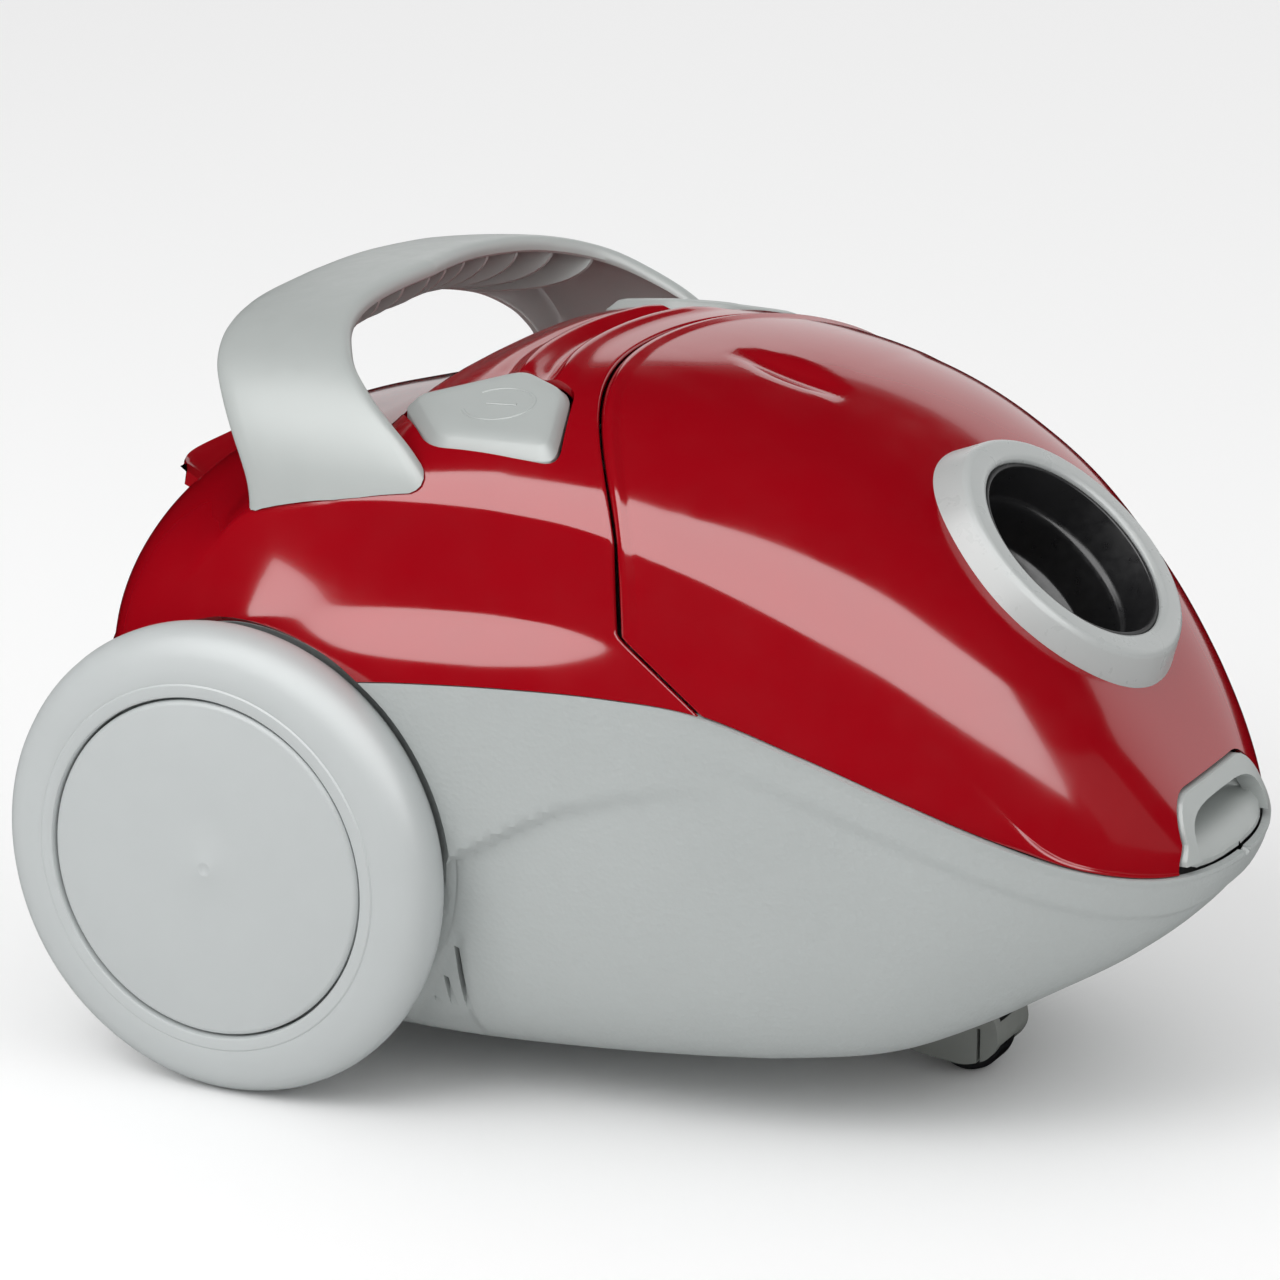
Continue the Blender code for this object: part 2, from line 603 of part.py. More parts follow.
# ---------------------------------------------------------------- pedals
def make_pedals():
    stem_x, stem_y = PEDAL_STEM
    for name, sign in (("rewind_pedal", 1), ("power_pedal", -1)):
        outline = pedal_outline(sign)
        rings = []
        for level in ("floor", "shoulder", "top"):
            ring = []
            inner = offset_outline(outline, -1.6) if level == "top" else outline
            for x, y in inner:
                top = pedal_top_z(x, y)
                height = {"floor": top - 15.0, "shoulder": top - 1.6, "top": top}[level]
                ring.append(Vector((x, y, height)))
            rings.append(ring)
        pedal = solid(name, "grey_trim", loft, rings, pivot=(stem_x, sign * stem_y, 200))
        combine(pedal, tool(name + "_stem", rod, (stem_x, sign * stem_y, 181), (stem_x, sign * stem_y, 212),
                            3.6,
                            segments=16), "UNION")
        solid(name.replace("pedal", "spring"), "steel", turned, [(6.4, 0), (6.4, 14), (4.6, 14), (4.6, 0)],
              (stem_x, sign * stem_y, 180.6), (0, 0, 1), segments=14, pivot=(stem_x, sign * stem_y, 180))
    solid("power_switch", "dark_plastic", box, (stem_x - 9, -stem_y - 12, 156),
          (stem_x + 9, -stem_y + 12, 175.4))
    solid("spring_shelf", "grey_shell", box, (-60, -92, 175.8), (-29, 92, 178.2))
    shelf = bpy.data.objects["spring_shelf"]
    for sign in (1, -1):
        combine(shelf, tool(f"shelf_bore_{sign}", rod, (stem_x, sign * stem_y, 170),
                            (stem_x, sign * stem_y, 185), 4.2,
                            segments=16))
    combine(shelf, tool("shelf_reel_gap", rod, (*REEL_CENTRE, 170), (*REEL_CENTRE, 185), 34, segments=24))
    lever = solid("brake_lever", "white_plastic", prism,
                  [(-36, 51), (-31, 55), (-33, 61), (-60, 57), (-66, 53), (-62, 49.3), (-46, 52)], 158, 164,
                  "Z",
                  pivot=(-36, 56, 161))
    combine(lever, tool("lever_bore", rod, (-36, 56, 150), (-36, 56, 170), 2.2, segments=12))
    solid("brake_pivot", "steel", rod, (-36, 56, 152), (-36, 56, 170), 1.9, segments=12)


# ---------------------------------------------------------------- hose inlet
def make_hose_inlet():
    pivot = tuple(HOSE_FACE)
    r = HOSE_RING_RADIUS
    solid("hose_ring", "grey_trim", turned,
          [(34.2, -0.6), (36.0, 0), (HOSE_FLAT_RADIUS, 0), (42.6, -1.6), (45.6, -7), (r - 0.3, -12.5),
           (r, -14),
           (r, -26), (r - 3, -26), (r - 3, -15.5), (42.4, -8.8), (39, -3.4), (34.2, -3.4)], pivot,
          HOSE_AXIS, segments=28)
    solid("hose_socket", "dark_plastic", turned,
          [(HOSE_BORE_RADIUS - 1.5, -1.6), (33.8, -1.6), (33.8, -9.4), (42, -9.4), (42, -12), (33.8, -12),
           (33.8, -44),
           (30.4, -46.5), (26.5, -46.5), (26.5, -33), (29.5, -31), (29.5, -16),
           (HOSE_BORE_RADIUS - 2.5, -14)],
          pivot, HOSE_AXIS, segments=28)
    solid("socket_seal", "rubber", turned, [(33, -46.9), (34.5, -49.6), (27, -50.2), (27, -46.9)],
          pivot, HOSE_AXIS, segments=28)


def slanted(outline, low, high):
    """Rings of a plate across the hose axis; the outline is (across, up the slope)."""
    up = Vector((-HOSE_AXIS.z, 0, HOSE_AXIS.x))
    return [[HOSE_FACE + HOSE_AXIS * h + Vector((0, a, 0)) + up * b for a, b in outline] for h in (low,
                                                                                                   high)]


def make_bag_parts():
    collar = solid("bag_collar", "paper", loft, slanted(rounded_rectangle(46, 44, 8), -54.2, -51.8))
    combine(collar, tool("collar_bore", rod, HOSE_FACE - HOSE_AXIS * 70, HOSE_FACE - HOSE_AXIS * 45, 25,
                         segments=28))
    holder = solid("bag_holder", "dark_plastic", loft, slanted(rounded_rectangle(52, 47, 8), -58, -54.6))
    combine(holder, tool("holder_bore", rod, HOSE_FACE - HOSE_AXIS * 70, HOSE_FACE - HOSE_AXIS * 45, 29,
                         segments=28))
    for side, sign in (("left", 1), ("right", -1)):
        low, high = sorted((sign * 46.5, sign * 51.5))
        combine(holder, tool(f"holder_leg_{side}", prism,
                             [(94, 125.6), (84, 116), (101, 36), (112, 44), (112, 101)],
                             low, high, "Y"), "UNION")
    outline = [(-6, 40), (2, 34), (90, 43), (98, 52), (100, 108), (52, 151), (34, 160), (6, 160), (-6, 148)]
    rings = []
    for y in (-45.8, 45.8):
        rings.append([Vector((x, y, z)) for x, z in outline])
    solid("dust_bag", "filter_cloth", loft, rings)


# ---------------------------------------------------------------- lid hinge and seals
def make_lid_hardware():
    solid("lid_hinge_pin", "steel", rod, (LID_HINGE_X, -20, LID_HINGE_Z), (LID_HINGE_X, 20, LID_HINGE_Z),
          1.0,
          segments=12)
    inset = WALL + 1.6
    profile = ((0, -4.0), (0, 0.2), (3, 0.2), (3, -4.0))
    stations = [50, 66, 82, 98, 112, 126, 138, 148, 157, 164, 169, 173.2]
    rings = []
    for sign in (1, -1):
        for x in (stations if sign > 0 else reversed(stations)):
            slope = belt_half_width(x + 0.5, inset) - belt_half_width(x - 0.5, inset)
            along = Vector((1, sign * slope, 0)).normalized()
            inward = Vector((along.y, -along.x, 0)) * sign
            middle = Vector((x, sign * belt_half_width(x, inset), belt_height(x)))
            rings.append([middle + inward * across + Vector((0, 0, up)) for across, up in profile])
    solid("lid_seal", "rubber", loft, rings)


# ---------------------------------------------------------------- wheels and caster
def make_wheels():
    rim, face = WHEEL_RADIUS, WHEEL_OUTER_Y
    for side, sign in (("left", 1), ("right", -1)):
        origin = (WHEEL_AXLE_X, 0, WHEEL_RADIUS)
        axis = (0, sign, 0)
        disc = WHEEL_DISC_RADIUS
        solid(f"wheel_{side}", "grey_shell", turned,
              [(5.5, 101), (17, 101), (17, 106), (64, 106), (72, WHEEL_INNER_Y + 2), (rim, 108), (rim, 117),
               (73.4, 125), (69.5, 131), (64, 133.7), (disc + 1.4, face), (disc + 0.4, 132.6),
               (disc + 0.4, 126),
               (5.5, 126)], origin, axis, segments=28, pivot=origin)
        solid(f"wheel_cap_{side}", "grey_shell", turned,
              [(0, face), (disc - 1.2, face - 0.4), (disc, face - 1.4), (disc, 131.4), (0, 131.4)],
              origin, axis, segments=28, pivot=origin)
        solid(f"wheel_axle_{side}", "steel", turned,
              [(0, 89.5), (8.5, 89.5), (8.5, 93.9), (AXLE_RADIUS, 93.9), (AXLE_RADIUS, 131), (0, 131)],
              origin, axis,
              segments=20)
        solid(f"axle_clip_{side}", "steel", turned,
              [(9.5, 129.7), (9.5, 130.7), (AXLE_RADIUS + 0.3, 130.7), (AXLE_RADIUS + 0.3, 129.7)], origin,
              axis,
              segments=20)


def make_caster():
    x, (axle_x, axle_z) = CASTER_SWIVEL_X, CASTER_AXLE
    fork = solid("caster_fork", "grey_shell", prism,
                 [(x - 15, 16), (x - 12, 9.5), (x, 5.5), (axle_x + 2, 4), (axle_x + 10, 7),
                  (axle_x + 13.5, 13),
                  (axle_x + 12, 21), (axle_x + 6, 26.8), (x - 11, 26.8), (x - 15, 23)], -12, 12, "Y",
                 pivot=(x, 0, 0))
    combine(fork, tool("fork_slot", box, (x + 1.8, -8.2, -5), (axle_x + 30, 8.2, 19)))
    combine(fork, tool("fork_slot_top", box, (x + 5.1, -8.2, -5), (axle_x + 30, 8.2, 24.6)))
    combine(fork, tool("fork_axle_bore", rod, (axle_x, -20, axle_z), (axle_x, 20, axle_z), 2.3,
                       segments=12))
    combine(fork, tool("fork_stem_bore", rod, (x, 0, 20), (x, 0, 30), 4.4, segments=16))
    solid("caster_stem", "steel", rod, (x, 0, 20.4), (x, 0, 40), 4.0, segments=16, pivot=(x, 0, 0))
    solid("caster_bush", "white_plastic", turned,
                 [(5.0, 27.4), (5.0, 31.0), (9.5, 31.0), (9.5, 37.6), (4.4, 37.6), (4.4, 27.4)],
                 (x, 0, 0), (0, 0, 1), segments=18)
    wheel_r = CASTER_WHEEL_RADIUS
    solid("caster_wheel", "dark_plastic", turned,
          [(2.4, -7.6), (9, -7.6), (wheel_r - 1.2, -7.2), (wheel_r, -5.5), (wheel_r, 5.5),
           (wheel_r - 1.2, 7.2), (9, 7.6), (2.4, 7.6)],
          (axle_x, 0, axle_z), (0, 1, 0), segments=28, pivot=(axle_x, 0, axle_z))
    solid("caster_axle", "steel", rod, (axle_x, -11.4, axle_z), (axle_x, 11.4, axle_z), 2.0, segments=12)


# ---------------------------------------------------------------- suction unit
def make_partition():
    x = PARTITION_X[0]
    inset = WALL + 2.2
    half = list(reversed(lower_half(x, inset, points=7)))[1:] + upper_half(x, inset)[1:4]
    half.append((half[-1][0] - 4, PARTITION_TOP_Z))
    outline = half + [(-y, z) for y, z in reversed(half)]
    plate = solid("motor_partition", "grey_shell", prism, outline, *PARTITION_X, "X")
    combine(plate, tool("partition_window", box, (-40, -44, 44), (-10, 44, 122)))
    front = PARTITION_X[1] + 0.4
    frame = solid("filter_frame", "white_plastic", prism, [(-51, 37), (51, 37), (51, 129), (-51, 129)],
                  front, front + 11, "X")
    combine(frame, tool("frame_pocket", box, (front + 2, -48.5, 39.5), (front + 20, 48.5, 126.5)))
    combine(frame, tool("frame_window", box, (front - 5, -42, 46), (front + 5, 42, 120)))
    solid("motor_filter", "filter_cloth", box, (front + 2.4, -48, 40), (front + 9, 48, 126))


def make_motor():
    centre = (0, 0, MOTOR_Z)
    forward = (1, 0, 0)
    solid("front_motor_mount", "rubber", turned, [(47, -33), (57, -33), (59.5, -36), (59.5, -43), (55, -43),
                                                  (55, -36.4), (47, -36.4)],
          centre, forward, segments=20)
    solid("fan_shroud", "steel", turned,
          [(20, -36.8), (FAN_RADIUS, -36.8), (FAN_RADIUS, -66), (FAN_RADIUS - 2, -66),
           (FAN_RADIUS - 2, -38.8), (20, -38.8)],
          centre, forward, segments=20)
    solid("impeller", "steel", turned, [(4.5, -41), (21, -41), (47, -46), (50, -50), (50, -57), (12, -58),
                                        (12, -60), (4.5, -60)],
          centre, forward, segments=20, pivot=centre)
    solid("motor_shaft", "steel", rod, (-128, 0, MOTOR_Z), (-40, 0, MOTOR_Z), 4.0, segments=16,
          pivot=centre)
    solid("motor_frame", "steel", turned,
          [(FAN_RADIUS - 3, -66.4), (FAN_RADIUS - 3, -68.6), (44, -68.6), (44, -112), (20, -126),
           (9.2, -126), (9.2, -123.6), (19, -123.6),
           (41.6, -110.6), (41.6, -68.6), (9.2, -68.6), (9.2, -66.4)], centre, forward, segments=20)
    solid("motor_stator", "copper", turned, [(41, -72), (41, -108), (27, -108), (27, -72)], centre, forward,
          segments=18)
    solid("motor_rotor", "copper", turned, [(4.4, -74), (26, -74), (26, -102), (13, -102), (13, -114),
                                            (4.4, -114)],
          centre, forward, segments=18, pivot=centre)
    for name, low in (("front_bearing", -68.2), ("rear_bearing", -126)):
        solid(name, "steel", turned, [(4.3, low), (8.8, low), (8.8, low + 2.2), (4.3, low + 2.2)], centre,
              forward,
              segments=20)
    for side, sign in (("left", 1), ("right", -1)):
        low, high = sorted((sign * 13.6, sign * 26))
        solid(f"carbon_brush_{side}", "carbon", box, (-112, low, MOTOR_Z - 3), (-105, high, MOTOR_Z + 3))
    solid("rear_motor_mount", "rubber", turned, [(11, -126.4), (17, -126.4), (17, -138), (11, -138)],
          centre, forward,
          segments=24)
    cradle = solid("motor_cradle", "grey_shell", prism,
                   [(-40, 20), (40, 20), (46, 60), (46, MOTOR_Z - 4), (-46, MOTOR_Z - 4), (-46, 60)], -108,
                   -84, "X")
    combine(cradle, tool("cradle_bore", rod, (-130, 0, MOTOR_Z), (-70, 0, MOTOR_Z), 44.5, segments=32))


def make_cord_reel():
    low, high = REEL_Z
    centre = (*REEL_CENTRE, 0)
    up = (0, 0, 1)
    solid("reel_base", "grey_shell", turned,
          [(0, low - 4.2), (44, low - 4.2), (44, low - 2), (12, low - 2), (12, low - 0.6), (5, low - 0.6),
           (5, high + 2.5), (0, high + 2.5)],
          centre, up, segments=24)
    r = REEL_RADIUS
    solid("reel_drum", "dark_plastic", turned,
          [(5.5, low), (r, low), (r, low + 2), (19.6, low + 2), (19.6, high - 2), (r, high - 2), (r, high),
           (5.5, high)],
          centre, up, segments=24, pivot=(*REEL_CENTRE, low))
    solid("wound_cord_pack", "cord_sheath", turned,
          [(20, low + 2.5), (45, low + 2.5), (46, low + 5), (46, high - 5), (45, high - 2.5),
           (20, high - 2.5)],
          centre, up, segments=24, pivot=(*REEL_CENTRE, low))
    solid("cord_outlet", "dark_plastic", turned,
          [(5, -166), (8.4, -166), (8.4, -170.0), (8.4, -172.9), (11.5, -172.9), (11.5, -175.5),
           (7.5, -176.5), (5, -174)], (0, 66, 108),
          (1, 0, 0), segments=20)


# ---------------------------------------------------------------- rear door
def make_rear_door():
    hinge_x, hinge_z = DOOR_HINGE
    door = finish("exhaust_door", upper_solid(REAR_STATIONS[:8], inset=0), "red_gloss",
                  pivot=(hinge_x, 0, hinge_z))
    combine(door, finish("tool_door_back", upper_solid((-170.2, -168, -162, -152, -138, -110), WALL,
                                                       skirt=8.0)))
    combine(door, tool("door_shape", box, (-200, -43.2, 134.8), (-158, 43.2, 165.0)), "INTERSECT")
    combine(door, tool("door_lip", prism, [(-166.5, 160.5), (-175.5, 166.5), (-177, 169), (-175, 170),
                                           (-164.8, 164.6), (-163.6, 162)],
                       -34, 34, "Y"), "UNION")
    for index in range(4):
        z = 141.5 + 5.0 * index
        combine(door, tool(f"door_slot_{index}", box, (-190, -32, z), (-150, 32, z + 2.2)))
    solid("exhaust_filter", "filter_cloth", box, (-158.5, -40, 135), (-150.5, 40, 164))


def main():
    for scene_object in list(bpy.data.objects):
        bpy.data.objects.remove(scene_object)
    make_base_tub()
    make_rear_cover()
    make_bag_lid()
    make_front_latch()
    make_latch_parts()
    make_handle()
    make_pedals()
    make_hose_inlet()
    make_bag_parts()
    make_lid_hardware()
    make_wheels()
    make_caster()
    make_partition()
    make_motor()
    make_cord_reel()
    make_rear_door()


main()
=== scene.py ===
"""Looks of the canister vacuum cleaner: fine casings, handle, pedals, wheels, bag and all materials.

Lengths are millimetres in the CAD's frame (+X forward, +Y left, +Z up); MM turns them into metres.
"""

import json
import math

import bmesh
import bpy
import numpy as np
from mathutils import Matrix, Vector


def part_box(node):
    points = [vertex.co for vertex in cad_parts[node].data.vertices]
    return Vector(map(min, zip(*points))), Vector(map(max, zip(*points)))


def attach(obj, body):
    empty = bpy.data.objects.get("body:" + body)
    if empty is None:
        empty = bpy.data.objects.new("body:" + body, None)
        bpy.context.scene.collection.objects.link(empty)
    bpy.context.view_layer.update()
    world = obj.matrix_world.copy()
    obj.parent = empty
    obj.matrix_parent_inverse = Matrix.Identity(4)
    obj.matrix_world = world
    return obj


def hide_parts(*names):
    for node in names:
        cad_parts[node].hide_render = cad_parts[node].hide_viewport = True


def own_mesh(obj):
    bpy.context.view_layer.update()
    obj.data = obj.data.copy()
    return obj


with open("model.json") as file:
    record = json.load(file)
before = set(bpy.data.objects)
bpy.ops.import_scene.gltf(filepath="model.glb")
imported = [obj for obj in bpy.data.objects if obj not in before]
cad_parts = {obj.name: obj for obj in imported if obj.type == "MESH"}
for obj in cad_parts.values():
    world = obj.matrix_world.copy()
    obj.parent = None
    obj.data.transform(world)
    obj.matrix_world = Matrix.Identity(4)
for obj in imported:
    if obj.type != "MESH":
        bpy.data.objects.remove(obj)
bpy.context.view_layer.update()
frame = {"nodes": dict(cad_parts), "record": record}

MM = 0.001

# ---- sizes shared with the CAD (mm)
NOSE_X = 180.2
REAR_X = -173.0
WIDEST_X = -50.0
BELT_HALF_WIDTH = 116.0
WALL = 2.6

WHEEL_AXLE = Vector((-105.2, 0.0, 75.0))
WHEEL_RADIUS = 75.0
WHEEL_FACE_Y = 134.2
DISC_RADIUS = 53.4
WELL_FLOOR_Y = 97.0
WELL_FLOOR_RADIUS = 60.2
WELL_REACH_Y = 150
ARCH_RADIUS = 75.7

HOSE_FACE = Vector((123.5, 0.0, 173.7))
HOSE_TILT = math.radians(48.3)
HOSE_AXIS = Vector((math.cos(HOSE_TILT), 0.0, math.sin(HOSE_TILT)))
HOSE_RING_RADIUS = 48.7

SEAM_CENTRE_X = -20.0
SEAM_SWEEP = 41.0
SEAM_SIDE_Y = 105.0
SEAM_KNEE_Z = 161.0
SEAM_SIDE_SLOPE = 27.0 / 21.0

LID_HINGE = Vector((-20.0, 0.0, 215.5))
CASTER_X = 78.0
CASTER_AXLE = Vector((93.0, 0.0, 11.8))
PEDAL_CORNERS = ((-72.5, 65.0, 213.6), (-39.2, 45.2, 222.0), (-19.1, 55.5, 220.1),
                 (-6.2, 91.0, 209.8), (-49.8, 88.9, 207.6))
PEDAL_STEM = (-38.0, 68.0)
CORD_OUTLET = Vector((0.0, 66.0, 108.0))
BODY_MIDDLE = (0.0, 0.0, 110.0)


# ---- curves of the body
def smooth_samples(points, per_span=30):
    """Dense points on a smooth curve through given points."""
    nodes = np.array(points, float)
    chords = np.hypot(*np.diff(nodes, axis=0).T)
    knots = np.r_[0.0, np.cumsum(chords**0.7)]
    steps = np.diff(knots)
    tangents = np.zeros_like(nodes)
    for axis in range(2):
        slopes = np.diff(nodes[:, axis]) / steps
        blended = slopes[:-1] * steps[1:] + slopes[1:] * steps[:-1]
        tangents[1:-1, axis] = blended / (knots[2:] - knots[:-2])
        tangents[0, axis] = 1.5 * slopes[0] - 0.5 * tangents[1, axis]
        tangents[-1, axis] = 1.5 * slopes[-1] - 0.5 * tangents[-2, axis]
    samples = []
    for i, step in enumerate(steps):
        for u in np.linspace(0.0, 1.0, per_span):
            near = (2 * u**3 - 3 * u**2 + 1) * nodes[i] + (u**3 - 2 * u**2 + u) * step * tangents[i]
            far = (3 * u**2 - 2 * u**3) * nodes[i + 1] + (u**3 - u**2) * step * tangents[i + 1]
            samples.append(near + far)
    return np.array(samples)


def smooth_curve(points):
    """A smooth height function z(x) through given (x, z) points."""
    samples = smooth_samples(points)
    return lambda x: float(np.interp(x, samples[:, 0], samples[:, 1]))


belt_height = smooth_curve([(REAR_X, 126), (-120, 131), (-77, 134), (-46, 138), (-12, 141), (20, 142),
                            (48, 140), (80, 129), (108, 116.4), (129, 106), (154, 94), (165, 89.7),
                            (173, 87.2), (NOSE_X, 86)])
crown_height = smooth_curve([(REAR_X, 126), (-171, 146), (-166, 162), (-156, 175), (-140, 183), (-110, 189),
                             (-86, 192), (-77.5, 197), (-71.5, 211), (-64, 215), (-40, 220), (-10, 221),
                             (25, 217), (64, 204.8), (95, 188), (117, 170.5), (140, 148.5), (158, 125.5),
                             (171, 105), (177.5, 93.5), (NOSE_X, 86)])
shoulder_height = smooth_curve([(REAR_X, 126), (-161, 130), (-147, 138), (-133, 149), (-122, 162),
                                (-108, 178), (-86, 186), (-66, 189.3), (-45, 191), (-20, 191.6), (12, 190),
                                (43, 182), (73, 168), (101, 149), (128, 122), (148, 99.5), (160, 93),
                                (NOSE_X, 86)])
keel_height = smooth_curve([(REAR_X, 72), (-169, 46), (-158, 26), (-140, 14), (-60, 10), (0, 13.5),
                            (60, 18.5), (95, 23), (115, 31), (135, 42), (155, 54), (170, 67), (NOSE_X, 84)])


def smoothstep(value, low, high):
    """0 below low, 1 above high, smooth between."""
    share = np.clip((value - low) / (high - low), 0.0, 1.0)
    return share * share * (3.0 - 2.0 * share)


def bump(value, centre, width):
    """A bell that is 1 at the centre."""
    return np.exp(-(((value - centre) / width) ** 2))


def belt_half_width(x, inset=0.0):
    """Half width of the body at its widest line; a superellipse in plan, squarer at the rear."""
    if x > WIDEST_X:
        power, reach = 2.3, NOSE_X - inset - WIDEST_X
    else:
        power, reach = 4.5, WIDEST_X - REAR_X - inset
    share = min(abs(x - WIDEST_X) / reach, 1.0)
    return (BELT_HALF_WIDTH - inset) * (1.0 - share**power) ** (1.0 / power)


def shoulder_step(x):
    """How far the shoulder crease stands inside the belt line."""
    return float(np.interp(x, [-168, -150, -110, -20, 20, 60, 110, 148, 180],
                           [2, 7, 12, 11.5, 8, 7, 5.5, 1.2, 0.3]))


# The upper casing's outline rises from the belt to a fold, on to the shoulder crease, then over the dome.
FOLD_SHARE = 0.37
FLANK_BULGE = 0.9
FENDER_STRENGTH = ([-165, -150, -120, -60, 0, 30, 46], [0, 0.7, 1, 1, 0.8, 0.35, 0])
FENDER_FLARE = 2.0
WHEEL_FLARE = 8.5
WHEEL_FLARE_REACH = 42.0
SHOULDER_LEAN = ([-20, 35], [0.3, 0.12])
DOME_POWER = ([-20, 40, 80, 120, 150, 176], [2.45, 2.35, 2.8, 3.6, 4.0, 3.8])
DOME_SHARE = ([-20, 40, 80, 120, 150, 176], [0.25, 0.25, 0.34, 0.5, 0.55, 0.55])
FLANK_COLUMNS = 16
SIDE_COLUMNS = 22
DOME_COLUMNS = 58
OUTLINE_SMOOTHING = 3


def along_x(x, table):
    """The value at x of a table of stations and values."""
    return float(np.interp(x, *table))


def dome_outline(x, crease_y, crease_z, top):
    """Points (y, z) from the shoulder crease to the crown on part of a superellipse."""
    share = along_x(x, DOME_SHARE)
    power = along_x(x, DOME_POWER)
    centre_z = (crease_z - share * top) / (1 - share)
    reach_y = crease_y / (1 - share**power) ** (1 / power)
    start = math.asin(share ** (power / 2))
    outline = []
    for k in range(DOME_COLUMNS + 1):
        angle = start + (math.pi / 2 - start) * k / DOME_COLUMNS
        outline.append((reach_y * max(math.cos(angle), 0.0) ** (2 / power),
                        centre_z + (top - centre_z) * math.sin(angle) ** (2 / power)))
    outline[-1] = (0.0, top)
    return outline


def upper_half(x, inset=0.0, lift=0.0, fenders=True):
    """Half outline (y, z) of the upper casing at x, from the belt over fold and shoulder to the crown."""
    width = belt_half_width(x, inset)
    base = belt_height(x)
    top = crown_height(x) - inset
    rise = top - base
    crease_z = min(max(shoulder_height(x) - 0.6 * inset, base + 0.05 * rise), top - 0.05 * rise)
    lean = along_x(x, SHOULDER_LEAN)
    crease_y = max(width - min(shoulder_step(x), lean * (crease_z - base)), 0.5 * width)
    fender = along_x(x, FENDER_STRENGTH) * fenders
    plain = 1 - fender
    fold_z = base + FOLD_SHARE * (crease_z - base)
    flare = FENDER_FLARE + WHEEL_FLARE * float(bump(x, WHEEL_AXLE.x, WHEEL_FLARE_REACH))
    fold_y = plain * (width + FOLD_SHARE * (crease_y - width)) + fender * (crease_y + flare)
    lift = min(lift, 0.4 * (fold_z - base))
    outline = []
    for k in range(FLANK_COLUMNS):
        u = k / FLANK_COLUMNS
        part = FOLD_SHARE * u
        y = width + (fold_y - width) * u
        y += fender * 0.55 * (0.5 * (width - fold_y) - 0.4) * 4.0 * u * (1.0 - u)
        y += plain * FLANK_BULGE * 4.0 * part * (1.0 - part)
        outline.append((y, base + lift + (fold_z - base - lift) * u))
    for k in range(SIDE_COLUMNS):
        u = k / SIDE_COLUMNS
        part = FOLD_SHARE + (1 - FOLD_SHARE) * u
        hollow = 1.3 * fender * math.sin(math.pi * u) - plain * FLANK_BULGE * 4.0 * part * (1.0 - part)
        outline.append((fold_y + (crease_y - fold_y) * u - hollow, fold_z + (crease_z - fold_z) * u))
    outline += dome_outline(x, crease_y, crease_z, top)
    points = np.array(outline)
    for _ in range(OUTLINE_SMOOTHING):
        points[1:-1] = 0.25 * points[:-2] + 0.5 * points[1:-1] + 0.25 * points[2:]
    points[:, 0] = np.maximum(points[:, 0], 0.0)
    return points


TUB_COLUMNS = 80
TUB_POWER = ([-60, 60, 130, 180], [6.5, 6.0, 3.6, 2.4])


def lower_half(x, inset=0.0):
    """Half outline (y, z) of the tub at x, from the belt down to the keel."""
    width = belt_half_width(x, inset)
    base = belt_height(x)
    keel = keel_height(x) + inset
    power = along_x(x, TUB_POWER)
    outline = []
    for k in range(TUB_COLUMNS + 1):
        drop = k / TUB_COLUMNS
        angle = 0.5 * math.pi * (drop ** 1.35 if drop < 1 else 1.0)
        fall = math.sin(angle) ** (2 / power)
        side = max(math.cos(angle), 0.0) ** (2 / power)
        outline.append((width * side * (1 - 0.06 * fall), base - (base - keel) * fall))
    points = np.array(outline)
    lengths = np.r_[0.0, np.cumsum(np.hypot(*np.diff(points, axis=0).T))]
    even = np.linspace(0.0, lengths[-1], TUB_COLUMNS + 1)
    return np.column_stack([np.interp(even, lengths, points[:, k]) for k in range(2)])


def full_ring(half, x):
    """Points from one side's first column over the centre plane to the other side's."""
    left = np.column_stack([np.full(len(half), x), half])
    right = left[:-1][::-1].copy()
    right[:, 1] *= -1
    return np.vstack([left, right])


def body_stations(count):
    """Stations along X, crowded at both blunt ends."""
    share = np.linspace(0.0, 1.0, count)
    rear = REAR_X + 0.0008 + 53.0 * share**4
    middle = np.linspace(-120.0, 130.0, 2 * count)[1:-1]
    nose = NOSE_X - 0.01 - 50.2 * share[::-1] ** 3.2
    return np.r_[rear, middle, nose]


# ---- mesh helpers
def to_object(name, vertices, faces, smooth_angle=35.0):
    """An object from points in millimetres."""
    mesh = bpy.data.meshes.new(name)
    mesh.from_pydata([tuple(MM * float(value) for value in point) for point in vertices], [], faces)
    mesh.validate()
    made = bpy.data.objects.new(name, mesh)
    bpy.context.scene.collection.objects.link(made)
    soften(made, smooth_angle)
    return made


def soften(made, angle=35.0):
    """Smooth shading with edges over the angle kept sharp."""
    made.data.shade_smooth()
    made.data.set_sharp_from_angle(angle=math.radians(angle))


def outward(made, angle=35.0, weld=0.0):
    """Turns the faces of a closed mesh outwards, after welding points closer than weld metres."""
    bm = bmesh.new()
    bm.from_mesh(made.data)
    if weld:
        bmesh.ops.remove_doubles(bm, verts=bm.verts, dist=weld)
    bmesh.ops.recalc_face_normals(bm, faces=bm.faces)
    bm.to_mesh(made.data)
    bm.free()
    soften(made, angle)
    return made


def grid_faces(rows, columns, close_columns=False, close_rows=False, skip=None):
    """Quads of a grid whose vertices are numbered row by row."""
    faces = []
    for i in range(rows if close_rows else rows - 1):
        for j in range(columns if close_columns else columns - 1):
            if skip is not None and skip[i, j]:
                continue
            k, m = (j + 1) % columns, (i + 1) % rows
            faces.append((i * columns + j, i * columns + k, m * columns + k, m * columns + j))
    return faces


